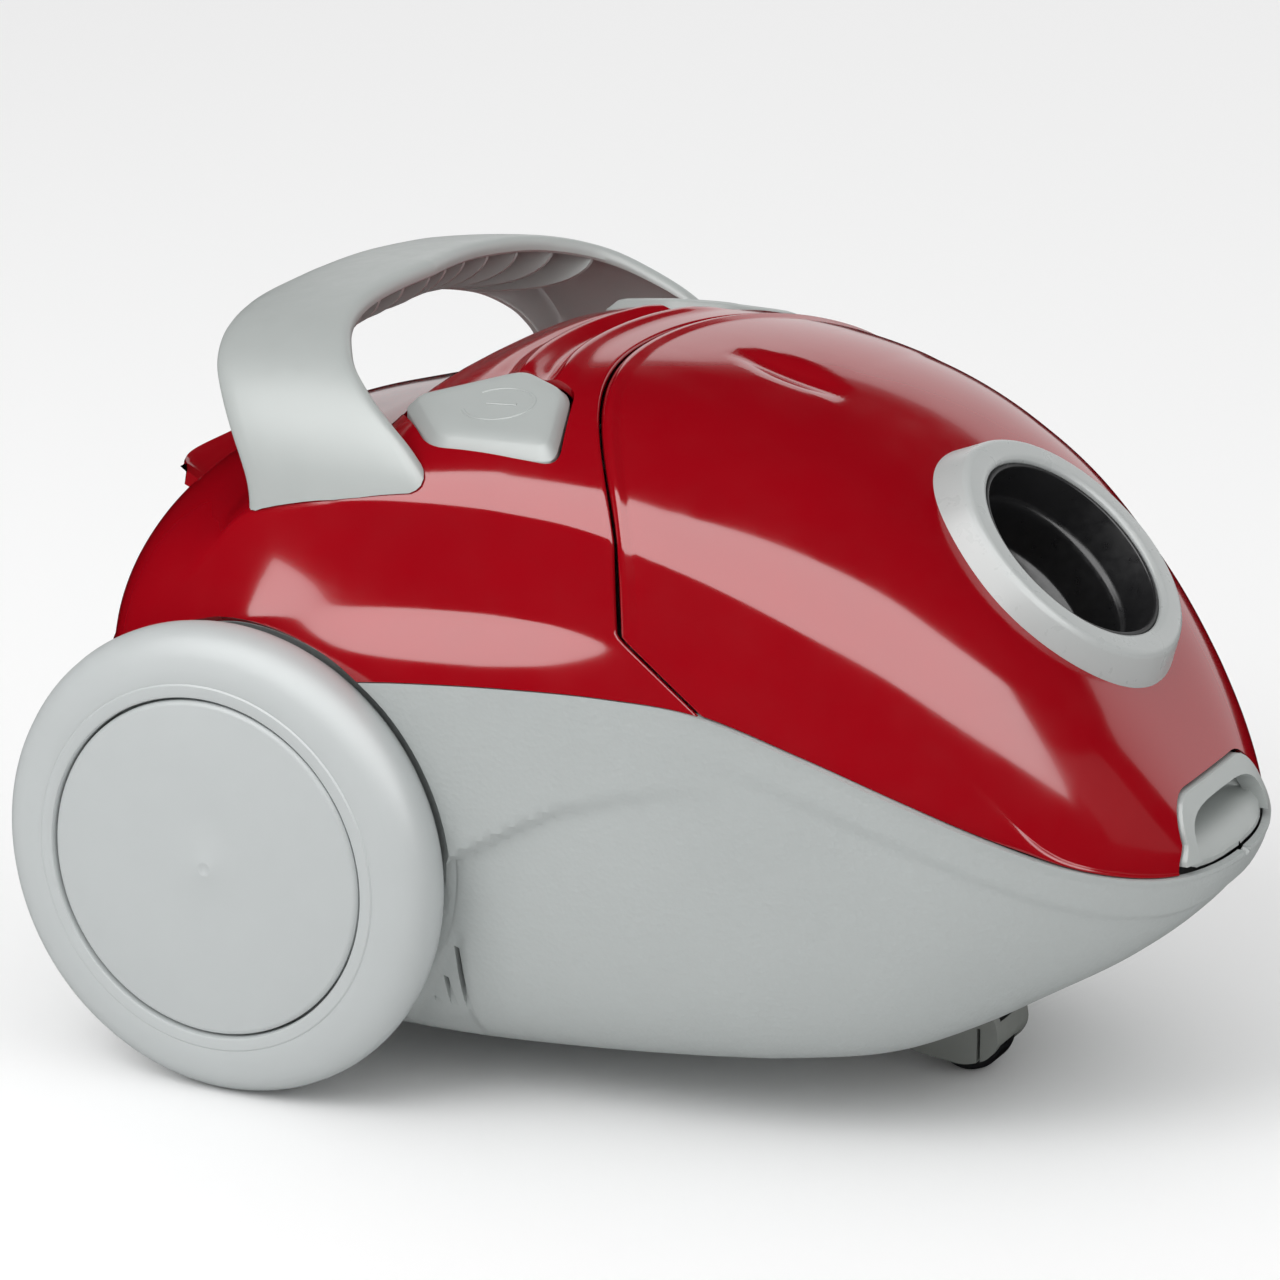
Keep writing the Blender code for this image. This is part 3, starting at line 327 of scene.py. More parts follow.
def loft(name, rings, close=False, smooth_angle=35.0):
    """A closed solid through closed rings; the ends are capped unless the loft closes on itself."""
    rings = [np.array(ring, float) for ring in rings]
    rows, columns = len(rings), len(rings[0])
    faces = grid_faces(rows, columns, True, close)
    if not close:
        faces.append(tuple(range(columns - 1, -1, -1)))
        faces.append(tuple(range((rows - 1) * columns, rows * columns)))
    made = outward(to_object(name, np.vstack(rings), faces))
    soften(made, smooth_angle)
    return made


def place_along(origin, axis):
    """A matrix whose local Z runs along axis from origin."""
    turn = Vector((0, 0, 1)).rotation_difference(Vector(axis).normalized()).to_matrix().to_4x4()
    return Matrix.Translation(Vector(origin)) @ turn


def lathe(name, profile, origin, axis, segments=128, wobble=None, smooth_angle=35.0):
    """Turns a closed (radius, height) profile; wobble(angle, radius, height) returns a changed pair."""
    place = np.array(place_along(origin, axis))
    rings = []
    for k in range(segments):
        angle = 2 * math.pi * k / segments
        ring = []
        for radius, height in profile:
            if wobble:
                radius, height = wobble(angle, radius, height)
            ring.append((radius * math.cos(angle), radius * math.sin(angle), height, 1.0))
        rings.append((place @ np.array(ring).T).T[:, :3])
    return outward(loft(name, rings, close=True, smooth_angle=smooth_angle), smooth_angle, weld=1e-6)


def corner_arc(start, corner, end, steps):
    """Points of a smooth bend from start to end that pulls towards the corner."""
    shares = [k / steps for k in range(steps + 1)]
    return [tuple(start * (1 - u) ** 2 + corner * 2 * u * (1 - u) + end * u**2) for u in shares]


def rounded(profile, radius=0.6, steps=4):
    """Rounds the corners of a closed profile with short arcs."""
    count = len(profile)
    points = []
    for i in range(count):
        before, here, after = (Vector(profile[(i + k) % count]) for k in (-1, 0, 1))
        first, second = before - here, after - here
        cut = min(radius, 0.45 * first.length, 0.45 * second.length)
        if here.x < 1e-6 or cut < 1e-4:
            points.append(tuple(here))
            continue
        points += corner_arc(here + first.normalized() * cut, here, here + second.normalized() * cut, steps)
    return points


def prism(name, outline, low, high, axis):
    """Extrudes an outline of the two other coordinates along an axis."""
    order = {"X": lambda p, h: (h, p[0], p[1]), "Y": lambda p, h: (p[0], h, p[1]),
             "Z": lambda p, h: (p[0], p[1], h)}[axis]
    return loft(name, [[order(point, height) for point in outline] for height in (low, high)])


def cylinder(name, start, end, radius, segments=96):
    """A plain round cutter between two points."""
    length = (Vector(end) - Vector(start)).length
    place = np.array(place_along(start, Vector(end) - Vector(start)))
    rings = []
    for height in (0.0, length):
        angles = [2 * math.pi * k / segments for k in range(segments)]
        ring = [(radius * math.cos(angle), radius * math.sin(angle), height, 1.0) for angle in angles]
        rings.append((place @ np.array(ring).T).T[:, :3])
    return loft(name, rings)


def cut_box(name, low, high):
    """A plain box cutter."""
    outline = [(low[0], low[1]), (high[0], low[1]), (high[0], high[1]), (low[0], high[1])]
    return prism(name, outline, low[2], high[2], "Z")


def bake(made, angle=35.0):
    """Applies the modifiers to the mesh."""
    bpy.context.view_layer.update()
    evaluated = made.evaluated_get(bpy.context.evaluated_depsgraph_get())
    mesh = bpy.data.meshes.new_from_object(evaluated)
    old = made.data
    made.modifiers.clear()
    made.data = mesh
    bpy.data.meshes.remove(old)
    soften(made, angle)
    return made


def combine(target, tools, operation="DIFFERENCE", angle=35.0):
    """Boolean with each tool in turn, then the tools are removed."""
    for tool in tools:
        modifier = target.modifiers.new("cut", "BOOLEAN")
        modifier.operation = operation
        modifier.object = tool
        modifier.solver = "MANIFOLD"
    bake(target, angle)
    for tool in tools:
        bpy.data.objects.remove(tool)
    return target


def thicken(made, thickness):
    """Gives an open skin a wall on its inside."""
    modifier = made.modifiers.new("wall", "SOLIDIFY")
    modifier.thickness = thickness * MM
    modifier.offset = -1.0
    modifier.use_even_offset = False
    modifier.use_rim = True
    return bake(made)


def bevel_edges(made, width, segments, limit, angle):
    """Rounds the edges sharper than limit degrees, then smooths below angle."""
    bevel = made.modifiers.new("edge", "BEVEL")
    bevel.width = width * MM
    bevel.segments = segments
    bevel.limit_method = "ANGLE"
    bevel.angle_limit = math.radians(limit)
    return bake(made, angle)


def join(name, pieces):
    """Several meshes as one object."""
    bm = bmesh.new()
    for piece in pieces:
        bm.from_mesh(piece.data)
    mesh = bpy.data.meshes.new(name)
    bm.to_mesh(mesh)
    bm.free()
    made = bpy.data.objects.new(name, mesh)
    bpy.context.scene.collection.objects.link(made)
    for piece in pieces:
        bpy.data.objects.remove(piece)
    soften(made)
    return made


# ---- materials
class Shader:
    """A Principled material with small helpers for procedural detail."""

    def __init__(self, name, colour, roughness, metallic=0.0):
        self.material = bpy.data.materials.new(name)
        self.material.use_nodes = True
        self.nodes = self.material.node_tree.nodes
        self.links = self.material.node_tree.links
        self.shader = self.nodes["Principled BSDF"]
        self.colour = colour
        self.shader.inputs["Base Color"].default_value = (*colour, 1.0)
        self.shader.inputs["Roughness"].default_value = roughness
        self.shader.inputs["Metallic"].default_value = metallic
        self.roughness = roughness
        self.place = self.nodes.new("ShaderNodeTexCoord").outputs["Object"]
        self.height = None

    def set(self, socket, value):
        self.shader.inputs[socket].default_value = value

    def noise(self, scale, detail=3.0, rough=0.55, stretch=None):
        node = self.nodes.new("ShaderNodeTexNoise")
        node.inputs["Scale"].default_value = scale
        node.inputs["Detail"].default_value = detail
        node.inputs["Roughness"].default_value = rough
        source = self.place
        if stretch:
            mapping = self.nodes.new("ShaderNodeMapping")
            mapping.inputs["Scale"].default_value = stretch
            self.links.new(self.place, mapping.inputs["Vector"])
            source = mapping.outputs["Vector"]
        self.links.new(source, node.inputs["Vector"])
        return node.outputs["Fac"]

    def cells(self, scale, feature="F1"):
        node = self.nodes.new("ShaderNodeTexVoronoi")
        node.feature = feature
        node.inputs["Scale"].default_value = scale
        self.links.new(self.place, node.inputs["Vector"])
        return node.outputs["Distance"]

    def wave(self, scale, direction="X", distortion=0.0):
        node = self.nodes.new("ShaderNodeTexWave")
        node.bands_direction = direction
        node.inputs["Scale"].default_value = scale
        node.inputs["Distortion"].default_value = distortion
        self.links.new(self.place, node.inputs["Vector"])
        return node.outputs["Fac"]

    def span(self, source, low, high, from_low=0.3, from_high=0.7):
        """A value stretched from one range to another."""
        node = self.nodes.new("ShaderNodeMapRange")
        values = {"From Min": from_low, "From Max": from_high, "To Min": low, "To Max": high}
        for socket, value in values.items():
            node.inputs[socket].default_value = value
        self.links.new(source, node.inputs["Value"])
        return node.outputs["Result"]

    def tint(self, source, dark, light):
        """Base colour between two tints of the material's colour."""
        node = self.nodes.new("ShaderNodeMix")
        node.data_type = "RGBA"
        self.links.new(source, node.inputs["Factor"])
        node.inputs["A"].default_value = (*[c * dark for c in self.colour], 1.0)
        node.inputs["B"].default_value = (*[min(c * light, 1.0) for c in self.colour], 1.0)
        self.links.new(node.outputs["Result"], self.shader.inputs["Base Color"])

    def shine(self, source, spread):
        """Roughness that wanders round its value."""
        self.links.new(self.span(source, max(self.roughness - spread, 0.02), self.roughness + spread),
                       self.shader.inputs["Roughness"])

    def relief(self, source, strength, depth_mm):
        """Adds a bump, on top of those already there."""
        node = self.nodes.new("ShaderNodeBump")
        node.inputs["Strength"].default_value = strength
        node.inputs["Distance"].default_value = depth_mm * MM
        self.links.new(source, node.inputs["Height"])
        if self.height is not None:
            self.links.new(self.height, node.inputs["Normal"])
        self.height = node.outputs["Normal"]
        self.links.new(self.height, self.shader.inputs["Normal"])


def gloss_red():
    made = Shader("red_gloss_moulded", (0.32, 0.001, 0.006), 0.13)
    made.set("Specular IOR Level", 0.6)
    made.set("Coat Weight", 0.35)
    made.set("Coat Roughness", 0.05)
    made.tint(made.noise(18.0), 0.9, 1.08)
    made.shine(made.noise(70.0, 4.0), 0.025)
    made.relief(made.noise(28.0, 1.0), 0.06, 0.5)
    made.relief(made.noise(2600.0, 2.0), 0.035, 0.02)
    return made.material


def grained_grey():
    """The tub's fine leather-like moulded grain."""
    made = Shader("grey_grained_shell", (0.405, 0.43, 0.425), 0.52)
    made.tint(made.noise(16.0, 4.0), 0.96, 1.04)
    made.shine(made.noise(420.0, 3.0), 0.08)
    made.relief(made.cells(620.0), 0.55, 0.16)
    made.relief(made.noise(1100.0, 3.0), 0.4, 0.08)
    return made.material


def satin_grey(name="grey_satin_trim", colour=(0.42, 0.445, 0.435), roughness=0.38):
    made = Shader(name, colour, roughness)
    made.tint(made.noise(22.0, 4.0), 0.965, 1.035)
    made.shine(made.noise(160.0, 4.0), 0.05)
    made.relief(made.noise(1500.0, 2.0), 0.12, 0.03)
    return made.material


def moulded(name, colour, roughness, tint, shine, relief):
    """A plain moulded material: noise in colour, gloss and surface, each as a scale and its amounts."""
    made = Shader(name, colour, roughness)
    made.tint(made.noise(tint[0]), *tint[1:])
    if shine:
        made.shine(made.noise(shine[0]), shine[1])
    made.relief(made.noise(relief[0]), *relief[1:])
    return made.material


def plain_steel():
    made = Shader("plain_steel", (0.56, 0.57, 0.59), 0.28, 1.0)
    made.tint(made.noise(50.0, stretch=(1.0, 20.0, 20.0)), 0.85, 1.08)
    made.shine(made.noise(400.0, stretch=(1.0, 12.0, 12.0)), 0.08)
    made.relief(made.noise(1500.0, stretch=(1.0, 10.0, 10.0)), 0.1, 0.02)
    return made.material


def copper_winding():
    made = Shader("copper_winding", (0.62, 0.24, 0.1), 0.34, 1.0)
    made.tint(made.noise(120.0), 0.75, 1.15)
    made.relief(made.wave(420.0, "X", 1.2), 0.7, 0.3)
    return made.material


def brown_card():
    made = Shader("brown_card", (0.5, 0.36, 0.2), 0.88)
    made.tint(made.noise(200.0, 6.0, stretch=(1.0, 4.0, 1.0)), 0.82, 1.12)
    made.relief(made.noise(900.0, 5.0), 0.35, 0.08)
    return made.material


def filter_fleece():
    """Non-woven cloth: crossed fibres and a point-bonded pattern."""
    made = Shader("filter_fleece", (0.74, 0.76, 0.78), 0.93)
    made.set("Sheen Weight", 0.35)
    made.set("Sheen Roughness", 0.45)
    made.tint(made.noise(90.0, 6.0), 0.9, 1.05)
    made.relief(made.cells(420.0, "SMOOTH_F1"), 0.5, 0.25)
    made.relief(made.noise(2200.0, 5.0, 0.7, stretch=(1.0, 5.0, 1.0)), 0.4, 0.06)
    return made.material


def cord_sheath():
    made = Shader("cord_sheath", (0.03, 0.03, 0.034), 0.55)
    made.tint(made.noise(80.0), 0.75, 1.4)
    made.relief(made.wave(75.0, "Z", 0.6), 0.9, 2.0)
    return made.material


MATERIALS = {
    "red_gloss": gloss_red(),
    "grey_shell": grained_grey(),
    "grey_trim": satin_grey(),
    "dark_plastic": moulded("black_satin_plastic", (0.011, 0.011, 0.012), 0.33,
                            (40.0, 0.7, 1.6), (300.0, 0.06), (1400.0, 0.15, 0.03)),
    "white_plastic": moulded("off_white_plastic", (0.66, 0.65, 0.61), 0.42,
                             (30.0, 0.95, 1.03), (240.0, 0.06), (1300.0, 0.15, 0.03)),
    "rubber": moulded("black_rubber", (0.022, 0.022, 0.023), 0.72,
                      (60.0, 0.75, 1.5), (300.0, 0.08), (900.0, 0.3, 0.06)),
    "steel": plain_steel(),
    "copper": copper_winding(),
    "carbon": moulded("carbon_brush", (0.03, 0.03, 0.032), 0.55,
                      (300.0, 0.6, 1.6), None, (1200.0, 0.3, 0.05)),
    "paper": brown_card(),
    "filter_cloth": filter_fleece(),
    "cord_sheath": cord_sheath(),
}
WHEEL_GREY = satin_grey("grey_wheel_plastic", (0.475, 0.5, 0.5), 0.42)
CASTER_GREY = satin_grey("grey_caster_plastic", (0.21, 0.22, 0.205), 0.45)


def piece(made, body, slot, *nodes, material=None):
    """Gives a visible piece its material, the slot's unless one is given, parents it to its body and hides
    the CAD nodes it stands for.
    """
    made.data.materials.clear()
    made.data.materials.append(material or MATERIALS[slot])
    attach(made, body)
    if nodes:
        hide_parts(*nodes)
    return made


# ---- casings
def seam_offset(points):
    """How far ahead of the lid seam each point lies."""
    forward = np.maximum(SEAM_KNEE_Z - points[:, 2], 0.0) * SEAM_SIDE_SLOPE
    return points[:, 0] - (SEAM_CENTRE_X + SEAM_SWEEP * (points[:, 1] / SEAM_SIDE_Y) ** 2 + forward)


def column_table(half_at, stations):
    """Points of every column at every station, shaped (station, column, 3)."""
    return np.array([full_ring(half_at(x), x) for x in stations])


def resample(line, distances):
    """Points of a polyline at distances from its start."""
    lengths = np.r_[0.0, np.cumsum(np.linalg.norm(np.diff(line, axis=0), axis=1))]
    return np.column_stack([np.interp(distances, lengths, line[:, k]) for k in range(3)]), lengths[-1]


def trimmed_grid(table, shift, ahead, edge_steps, rows):
    """Columns cut at the seam and resampled from the seam to the far end."""
    columns = []
    for j in range(table.shape[1]):
        line = table[:, j]
        offset = seam_offset(line) - shift
        order = np.argsort(line[:, 0], kind="stable")
        line, offset = line[order], offset[order]
        first = int(np.argmax(offset > 0))
        share = offset[first] / (offset[first] - offset[first - 1])
        root = line[first] + share * (line[first - 1] - line[first])
        part = np.vstack([root, line[first:]]) if ahead else np.vstack([root, line[:first][::-1]])
        total = resample(part, [0.0])[1]
        spread = np.linspace(edge_steps[-1], total, rows + 1)[1:]
        columns.append(resample(part, np.r_[edge_steps, spread])[0])
    return np.array(columns).transpose(1, 0, 2)


def grid_normals(grid):
    """Unit normals of a grid of points, pointing out of the body."""
    along = np.gradient(grid, axis=0)
    across = np.gradient(grid, axis=1)
    normals = np.cross(along, across)
    lengths = np.linalg.norm(normals, axis=2, keepdims=True)
    normals /= np.maximum(lengths, 1e-9)
    outwards = np.sum(normals * (grid - np.array(BODY_MIDDLE)), axis=2)
    return normals if np.median(outwards) > 0 else -normals


def rounded_edge(distance, radius):
    """How far the skin drops at a distance from a rounded edge."""
    reach = np.clip(radius - distance, 0.0, radius)
    return radius - np.sqrt(radius**2 - reach**2)


def from_grid(name, grid, skip=None):
    """An open skin through a grid of points, its faces turned out of the body."""
    rows, columns = grid.shape[:2]
    faces = grid_faces(rows, columns, skip=skip)
    made = to_object(name, grid.reshape(-1, 3), faces)
    bm = bmesh.new()
    bm.from_mesh(made.data)
    loose = [vertex for vertex in bm.verts if not vertex.link_faces]
    bmesh.ops.delete(bm, geom=loose, context="VERTS")
    bm.faces.ensure_lookup_table()
    middle = Vector(BODY_MIDDLE)
    outwards = sum(face.normal.dot(face.calc_center_median() / MM - middle) > 0 for face in bm.faces)
    if 2 * outwards < len(bm.faces):
        bmesh.ops.reverse_faces(bm, faces=bm.faces)
    bm.to_mesh(made.data)
    bm.free()
    return made


def well_cutters(sign):
    """The space of a rear wheel: a round core and a ring that follows the rounded back of the tyre."""
    core = cylinder("well", (WHEEL_AXLE.x, sign * WELL_FLOOR_Y, WHEEL_AXLE.z),
                    (WHEEL_AXLE.x, sign * WELL_REACH_Y, WHEEL_AXLE.z), WELL_FLOOR_RADIUS)
    profile = [(50, 104.9), (WELL_FLOOR_RADIUS, 104.9), (70.6, 109.2), (74.2, 112.6), (ARCH_RADIUS, 115.5),
               (ARCH_RADIUS, WELL_REACH_Y), (50, WELL_REACH_Y)]
    return [core, lathe("arch", profile, (WHEEL_AXLE.x, 0, WHEEL_AXLE.z), (0, sign, 0), 128)]


def whole_body(name, inset=0.0):
    """A closed solid of the whole body, for trimming other pieces."""
    rings = []
    for x in body_stations(26)[1:-1]:
        upper = upper_half(x, inset)[::2]
        lower = lower_half(x, inset)[1:][::2]
        half = np.vstack([upper[::-1], lower])
        left = np.column_stack([np.full(len(half), x), half])
        right = left[1:-1][::-1].copy()
        right[:, 1] *= -1
        rings.append(np.vstack([left, right]))
    return loft(name, rings)


# Distances from the seam at which the rounded edges of lid and cover are sampled.
LID_EDGE = (0.0, 0.25, 0.6, 1.1, 1.8, 2.7, 4.0)
COVER_EDGE = (0.0, 0.2, 0.5, 0.9, 1.5, 2.4)
FAR_FROM_EDGE = 9.0
LID_LIP_RADIUS = 2.2
COVER_LIP_RADIUS = 0.9
LID_GAP = 0.9
COVER_GAP = 0.4
VISIBLE_GAP = 0.7
CASING_WALL = WALL - 0.2
DIMPLE_START = (4.0, 2.0)
DIMPLE_TURN = math.radians(-6.0)
DIMPLE_LENGTH = 48.0
DIMPLE_HALF_WIDTH = 11.5
DIMPLE_DEPTH = 2.4


def edge_distances(grid, steps):
    """Distance from the seam of each row of a trimmed grid, as a column."""
    return np.array(steps + (FAR_FROM_EDGE,) * (grid.shape[0] - len(steps)))[:, None]


def thumb_dimple(grid):
    """Depth of the leaf-shaped dimple on the lid's crown behind the hose inlet."""
    x, y = grid[..., 0] - DIMPLE_START[0], grid[..., 1] - DIMPLE_START[1]
    along = x * math.cos(DIMPLE_TURN) + y * math.sin(DIMPLE_TURN)
    across = -x * math.sin(DIMPLE_TURN) + y * math.cos(DIMPLE_TURN)
    share = np.clip(along / DIMPLE_LENGTH, 0.0, 1.0)
    half_width = DIMPLE_HALF_WIDTH * np.sin(math.pi * share)
    inside = np.clip(1.0 - np.abs(across) / np.maximum(half_width, 1e-3), 0.0, 1.0)
    depth = DIMPLE_DEPTH * smoothstep(inside, 0.0, 1.0) * np.sin(math.pi * share)
    return depth * (share > 0) * (share < 1) * (grid[..., 2] > 195)


def hose_hole(grid):
    """The grid with its points snapped to the rim of the hose hole, and the cells to leave open."""
    radial = grid - np.array(HOSE_FACE)
    along = radial @ np.array(HOSE_AXIS)
    away = np.linalg.norm(radial - along[..., None] * np.array(HOSE_AXIS), axis=2)
    rim = HOSE_RING_RADIUS - 4.2
    inside = (away < rim) & (along > -60)
    open_cells = inside[:-1, :-1] & inside[1:, :-1] & inside[:-1, 1:] & inside[1:, 1:]
    near_hole = inside & (away > 1e-6)
    stretch = np.where(near_hole, rim / np.maximum(away, 1e-6), 1.0)[..., None]
    on_axis = np.array(HOSE_FACE) + along[..., None] * np.array(HOSE_AXIS)
    kept = np.zeros(inside.shape, bool)
    for di in (0, 1):
        for dj in (0, 1):
            kept[di:grid.shape[0] - 1 + di, dj:grid.shape[1] - 1 + dj] |= ~open_cells
    snap = (near_hole & kept)[..., None]
    return np.where(snap, on_axis + (grid - on_axis) * stretch, grid), open_cells


def make_lid():
    table = column_table(lambda x: upper_half(x, lift=LID_GAP, fenders=False), body_stations(70))
    grid = trimmed_grid(table, 0.0, True, LID_EDGE, 150)
    normals = grid_normals(grid)
    edge = edge_distances(grid, LID_EDGE)
    lip = 0.9 * bump(edge, 3.4, 2.2) * smoothstep(grid[..., 2], 150, 185)
    drop = rounded_edge(edge, LID_LIP_RADIUS) + thumb_dimple(grid) - lip
    grid, open_cells = hose_hole(grid - normals * drop[..., None])
    lid = thicken(from_grid("lid_shell", grid, open_cells), CASING_WALL)
    notch = prism("notch", latch_outline(0.0, 78.0), 150, 190, "X")
    knuckle = prism("knuckle", [(-16.5, 217.5), (-21.6, 217.0), (-22.3, 215.5), (-21.2, 213.6), (-18, 213.2),
                                (-8, 217.6)], -8.8, 8.8, "Y")
    combine(lid, [notch])
    combine(lid, [knuckle], "UNION")
    return piece(lid, "lid", "red_gloss", "bag_lid")


HINGE_GROOVE_RADIUS = 4.3
HINGE_GROOVE_HALF = 26
PEDAL_CLEARANCE = 1.3
# Height, distance behind the seam and width of each ridge or furrow of the deck.
DECK_RIDGES = ((1.5, 15.0, 3.2), (-2.0, 21.5, 3.6), (1.7, 28.5, 3.4), (-1.3, 35.0, 3.5))


def deck_relief(grid):
    """Flowing ridges of the deck between the pedals, parallel to the seam."""
    points = grid.reshape(-1, 3)
    behind = -seam_offset(points).reshape(grid.shape[:2])
    x, y, z = grid[..., 0], grid[..., 1], grid[..., 2]
    window = smoothstep(60.0 - np.abs(y), 0.0, 22.0) * smoothstep(z, 200, 207)
    ridges = sum(height * bump(behind, place, width) for height, place, width in DECK_RIDGES)
    lip = 0.8 * bump(x, -70.0, 2.2) * smoothstep(z, 205, 211)
    return ridges * window + lip


def make_cover():
    table = column_table(lambda x: upper_half(x, lift=COVER_GAP), body_stations(70))
    grid = trimmed_grid(table, -VISIBLE_GAP, False, COVER_EDGE, 170)
    normals = grid_normals(grid)
    drop = rounded_edge(edge_distances(grid, COVER_EDGE), COVER_LIP_RADIUS) - deck_relief(grid)
    cover = thicken(from_grid("cover_shell", grid - normals * drop[..., None]), CASING_WALL)
    cutters = []
    for sign in (1, -1):
        cutters += well_cutters(sign)
        cutters.append(prism("pedal_hole", pedal_outline(sign, PEDAL_CLEARANCE), 185, 240, "Z"))
    cutters.append(cut_box("door_hole", (-200, -44, 132.6), (-150, 44, 166)))
    cutters.append(cylinder("hinge_groove", (LID_HINGE.x, -HINGE_GROOVE_HALF, LID_HINGE.z),
                            (LID_HINGE.x, HINGE_GROOVE_HALF, LID_HINGE.z), HINGE_GROOVE_RADIUS))
    combine(cover, cutters)
    return piece(cover, "chassis", "red_gloss", "rear_cover")


# The tub steps inwards below this line (x, z); the step fades out towards the nose.
STEP_LINE = ([-60, -37, -14, 4, 22, 38, 60, 85], [70, 81, 95, 105, 111, 115.5, 118, 118])
STEP_DEPTH = ([-60, -37, -10, 22, 60], [4.6, 4.4, 3.2, 1.6, 0.0])
STEP_SOFTNESS = 3.2
STEP_FADE = 55.0
BAND_DEPTH = 15.0
BAND_HEIGHT = 1.3
VENT_PANEL = ([-60, -52, -32, -30], [1.2, 1.2, 1.2, 0.0])
VENT_SLOTS = (((-33.3, 53.0), (-30.6, 27.5)), ((-38.2, 42.0), (-36.0, 27.0)), ((-43.0, 33.5), (-41.2, 26.0)))
CASTER_HOLE_RADIUS = 33.0
CORD_HOLE_RADIUS = 9.0
BELT_X = np.linspace(REAR_X, NOSE_X, 400)
BELT_Z = np.array([belt_height(x) for x in BELT_X])


def tub_relief(points):
    """Outward offset of the tub: band and rim at the belt, less the stepped side and the vent panel."""
    x, z = points[..., 0], points[..., 2]
    depth = np.interp(x, BELT_X, BELT_Z) - z
    band = BAND_HEIGHT * smoothstep(BAND_DEPTH - depth, 0.0, 3.0) * smoothstep(x, 35.0, 95.0) * (depth > -1)
    below = np.interp(x, *STEP_LINE) - z
    recess = smoothstep(below, 0.0, STEP_SOFTNESS) * np.interp(x, *STEP_DEPTH)
    recess *= np.exp(-np.clip(below, 0, None) ** 2 / STEP_FADE**2)
    rim = 0.5 * smoothstep(2.2 - depth, 0.0, 1.2) * smoothstep(x, 20.0, 60.0)
    panel = np.interp(x, *VENT_PANEL) * smoothstep(z, 18, 21)
    panel *= smoothstep((54.0 + (x + 34.0) * 1.6) - z, 0.0, 1.0) * (x < -29)
    return band - recess + rim - panel


def vent_slot(top, bottom, sign):
    """A wedge cutter through the tub's side, narrow at the top."""
    low, high = sorted((sign * 100, sign * 130))
    outline = [(top[0] - 0.8, top[1]), (top[0] + 0.9, top[1] - 0.6), (bottom[0] + 1.2, bottom[1]),
               (bottom[0] - 2.0, bottom[1])]
    return prism("vent", outline, low, high, "Y")


def make_tub():
    table = column_table(lower_half, body_stations(80))
    normals = grid_normals(table)
    table = table + normals * tub_relief(table)[..., None]
    tub = thicken(from_grid("tub_shell", table), WALL)
    cutters = []
    for sign in (1, -1):
        cutters += well_cutters(sign)
        cutters += [vent_slot(top, bottom, sign) for top, bottom in VENT_SLOTS]
    cutters.append(cylinder("caster_hole", (CASTER_X, 0, -5), (CASTER_X, 0, 60), CASTER_HOLE_RADIUS))
    cutters.append(cylinder("cord_hole", (-190, CORD_OUTLET.y, CORD_OUTLET.z),
                            (-160, CORD_OUTLET.y, CORD_OUTLET.z), CORD_HOLE_RADIUS))
    combine(tub, cutters)
    return piece(tub, "chassis", "grey_shell", "base_tub")


def make_well_liners():
    """Cups that close the wheel wells, trimmed to the inside of the body."""
    for side, sign in (("left", 1), ("right", -1)):
        profile = [(11.0, 96.8), (60.3, 96.8), (60.3, 105), (70.7, 109.3), (74.3, 112.7), (75.8, 115.5),
                   (75.8, 118), (77.8, 118), (77.8, 113), (72, 107.0), (62.4, 103.0), (62.4, 94.6),
                   (11.0, 94.6)]
        liner = lathe(f"well_liner_{side}", profile, (WHEEL_AXLE.x, 0, WHEEL_AXLE.z), (0, sign, 0), 96)
        combine(liner, [whole_body("trim", 2.7)], "INTERSECT")
        piece(liner, "chassis", "grey_shell")


def make_caster_cup():
    """The round recess of the caster in the tub's underside."""
    profile = [(6.0, 30.6), (6.0, 28.0), (30.5, 28.0), (32.9, 26.0), (32.9, 18.6), (35.4, 18.6),
               (35.4, 30.6)]
    cup = lathe("caster_cup", rounded(profile, 1.0), (CASTER_X, 0, 0), (0, 0, 1), 96)
    combine(cup, [whole_body("trim", 0.2)], "INTERSECT")
    piece(cup, "chassis", "grey_shell", material=CASTER_GREY)


# ---- rear door
DOOR_SLOTS = 5
DOOR_SLOT_Z = 140.4
DOOR_SLOT_PITCH = 4.4
DOOR_LIP_REACH = 9.5


def make_rear_door():
    table = column_table(upper_half, body_stations(70)[:110])
    door = thicken(from_grid("rear_door_shell", table), WALL)
    combine(door, [cut_box("door_shape", (-200, -43.2, 134.8), (-156, 43.2, 165.0))], "INTERSECT")
    slots = []
    for index in range(DOOR_SLOTS):
        z = DOOR_SLOT_Z + DOOR_SLOT_PITCH * index
        slots.append(prism("slot", [(-30, z), (30, z), (31.4, z + 1.1), (30, z + 2.2), (-30, z + 2.2),
                                    (-31.4, z + 1.1)], -190, -150, "X"))
    combine(door, slots)
    rings = []
    for y in np.linspace(-34.0, 34.0, 45):
        reach = DOOR_LIP_REACH * (1.0 - (y / 36.0) ** 4)
        rings.append([(-165.6, y, 160.8), (-170.5, y, 162.8), (-167.5 - reach, y, 166.8),
                      (-168.1 - reach, y, 168.6), (-167.4 - reach, y, 169.8), (-172.0, y, 168.6),
                      (-165.0, y, 165.0), (-163.8, y, 162.2)])
    lip = loft("lip", rings, smooth_angle=60)
    made = join("rear_door_shell.panel", [door, lip])
    return piece(made, "rear_door", "red_gloss", "exhaust_door")


# ---- latch
LATCH_THICKNESS = 6.4
LATCH_PROUD = 1.3
LATCH_HOLE_HALF = 27.0
SCOOP_HALF_WIDTH = 31.0
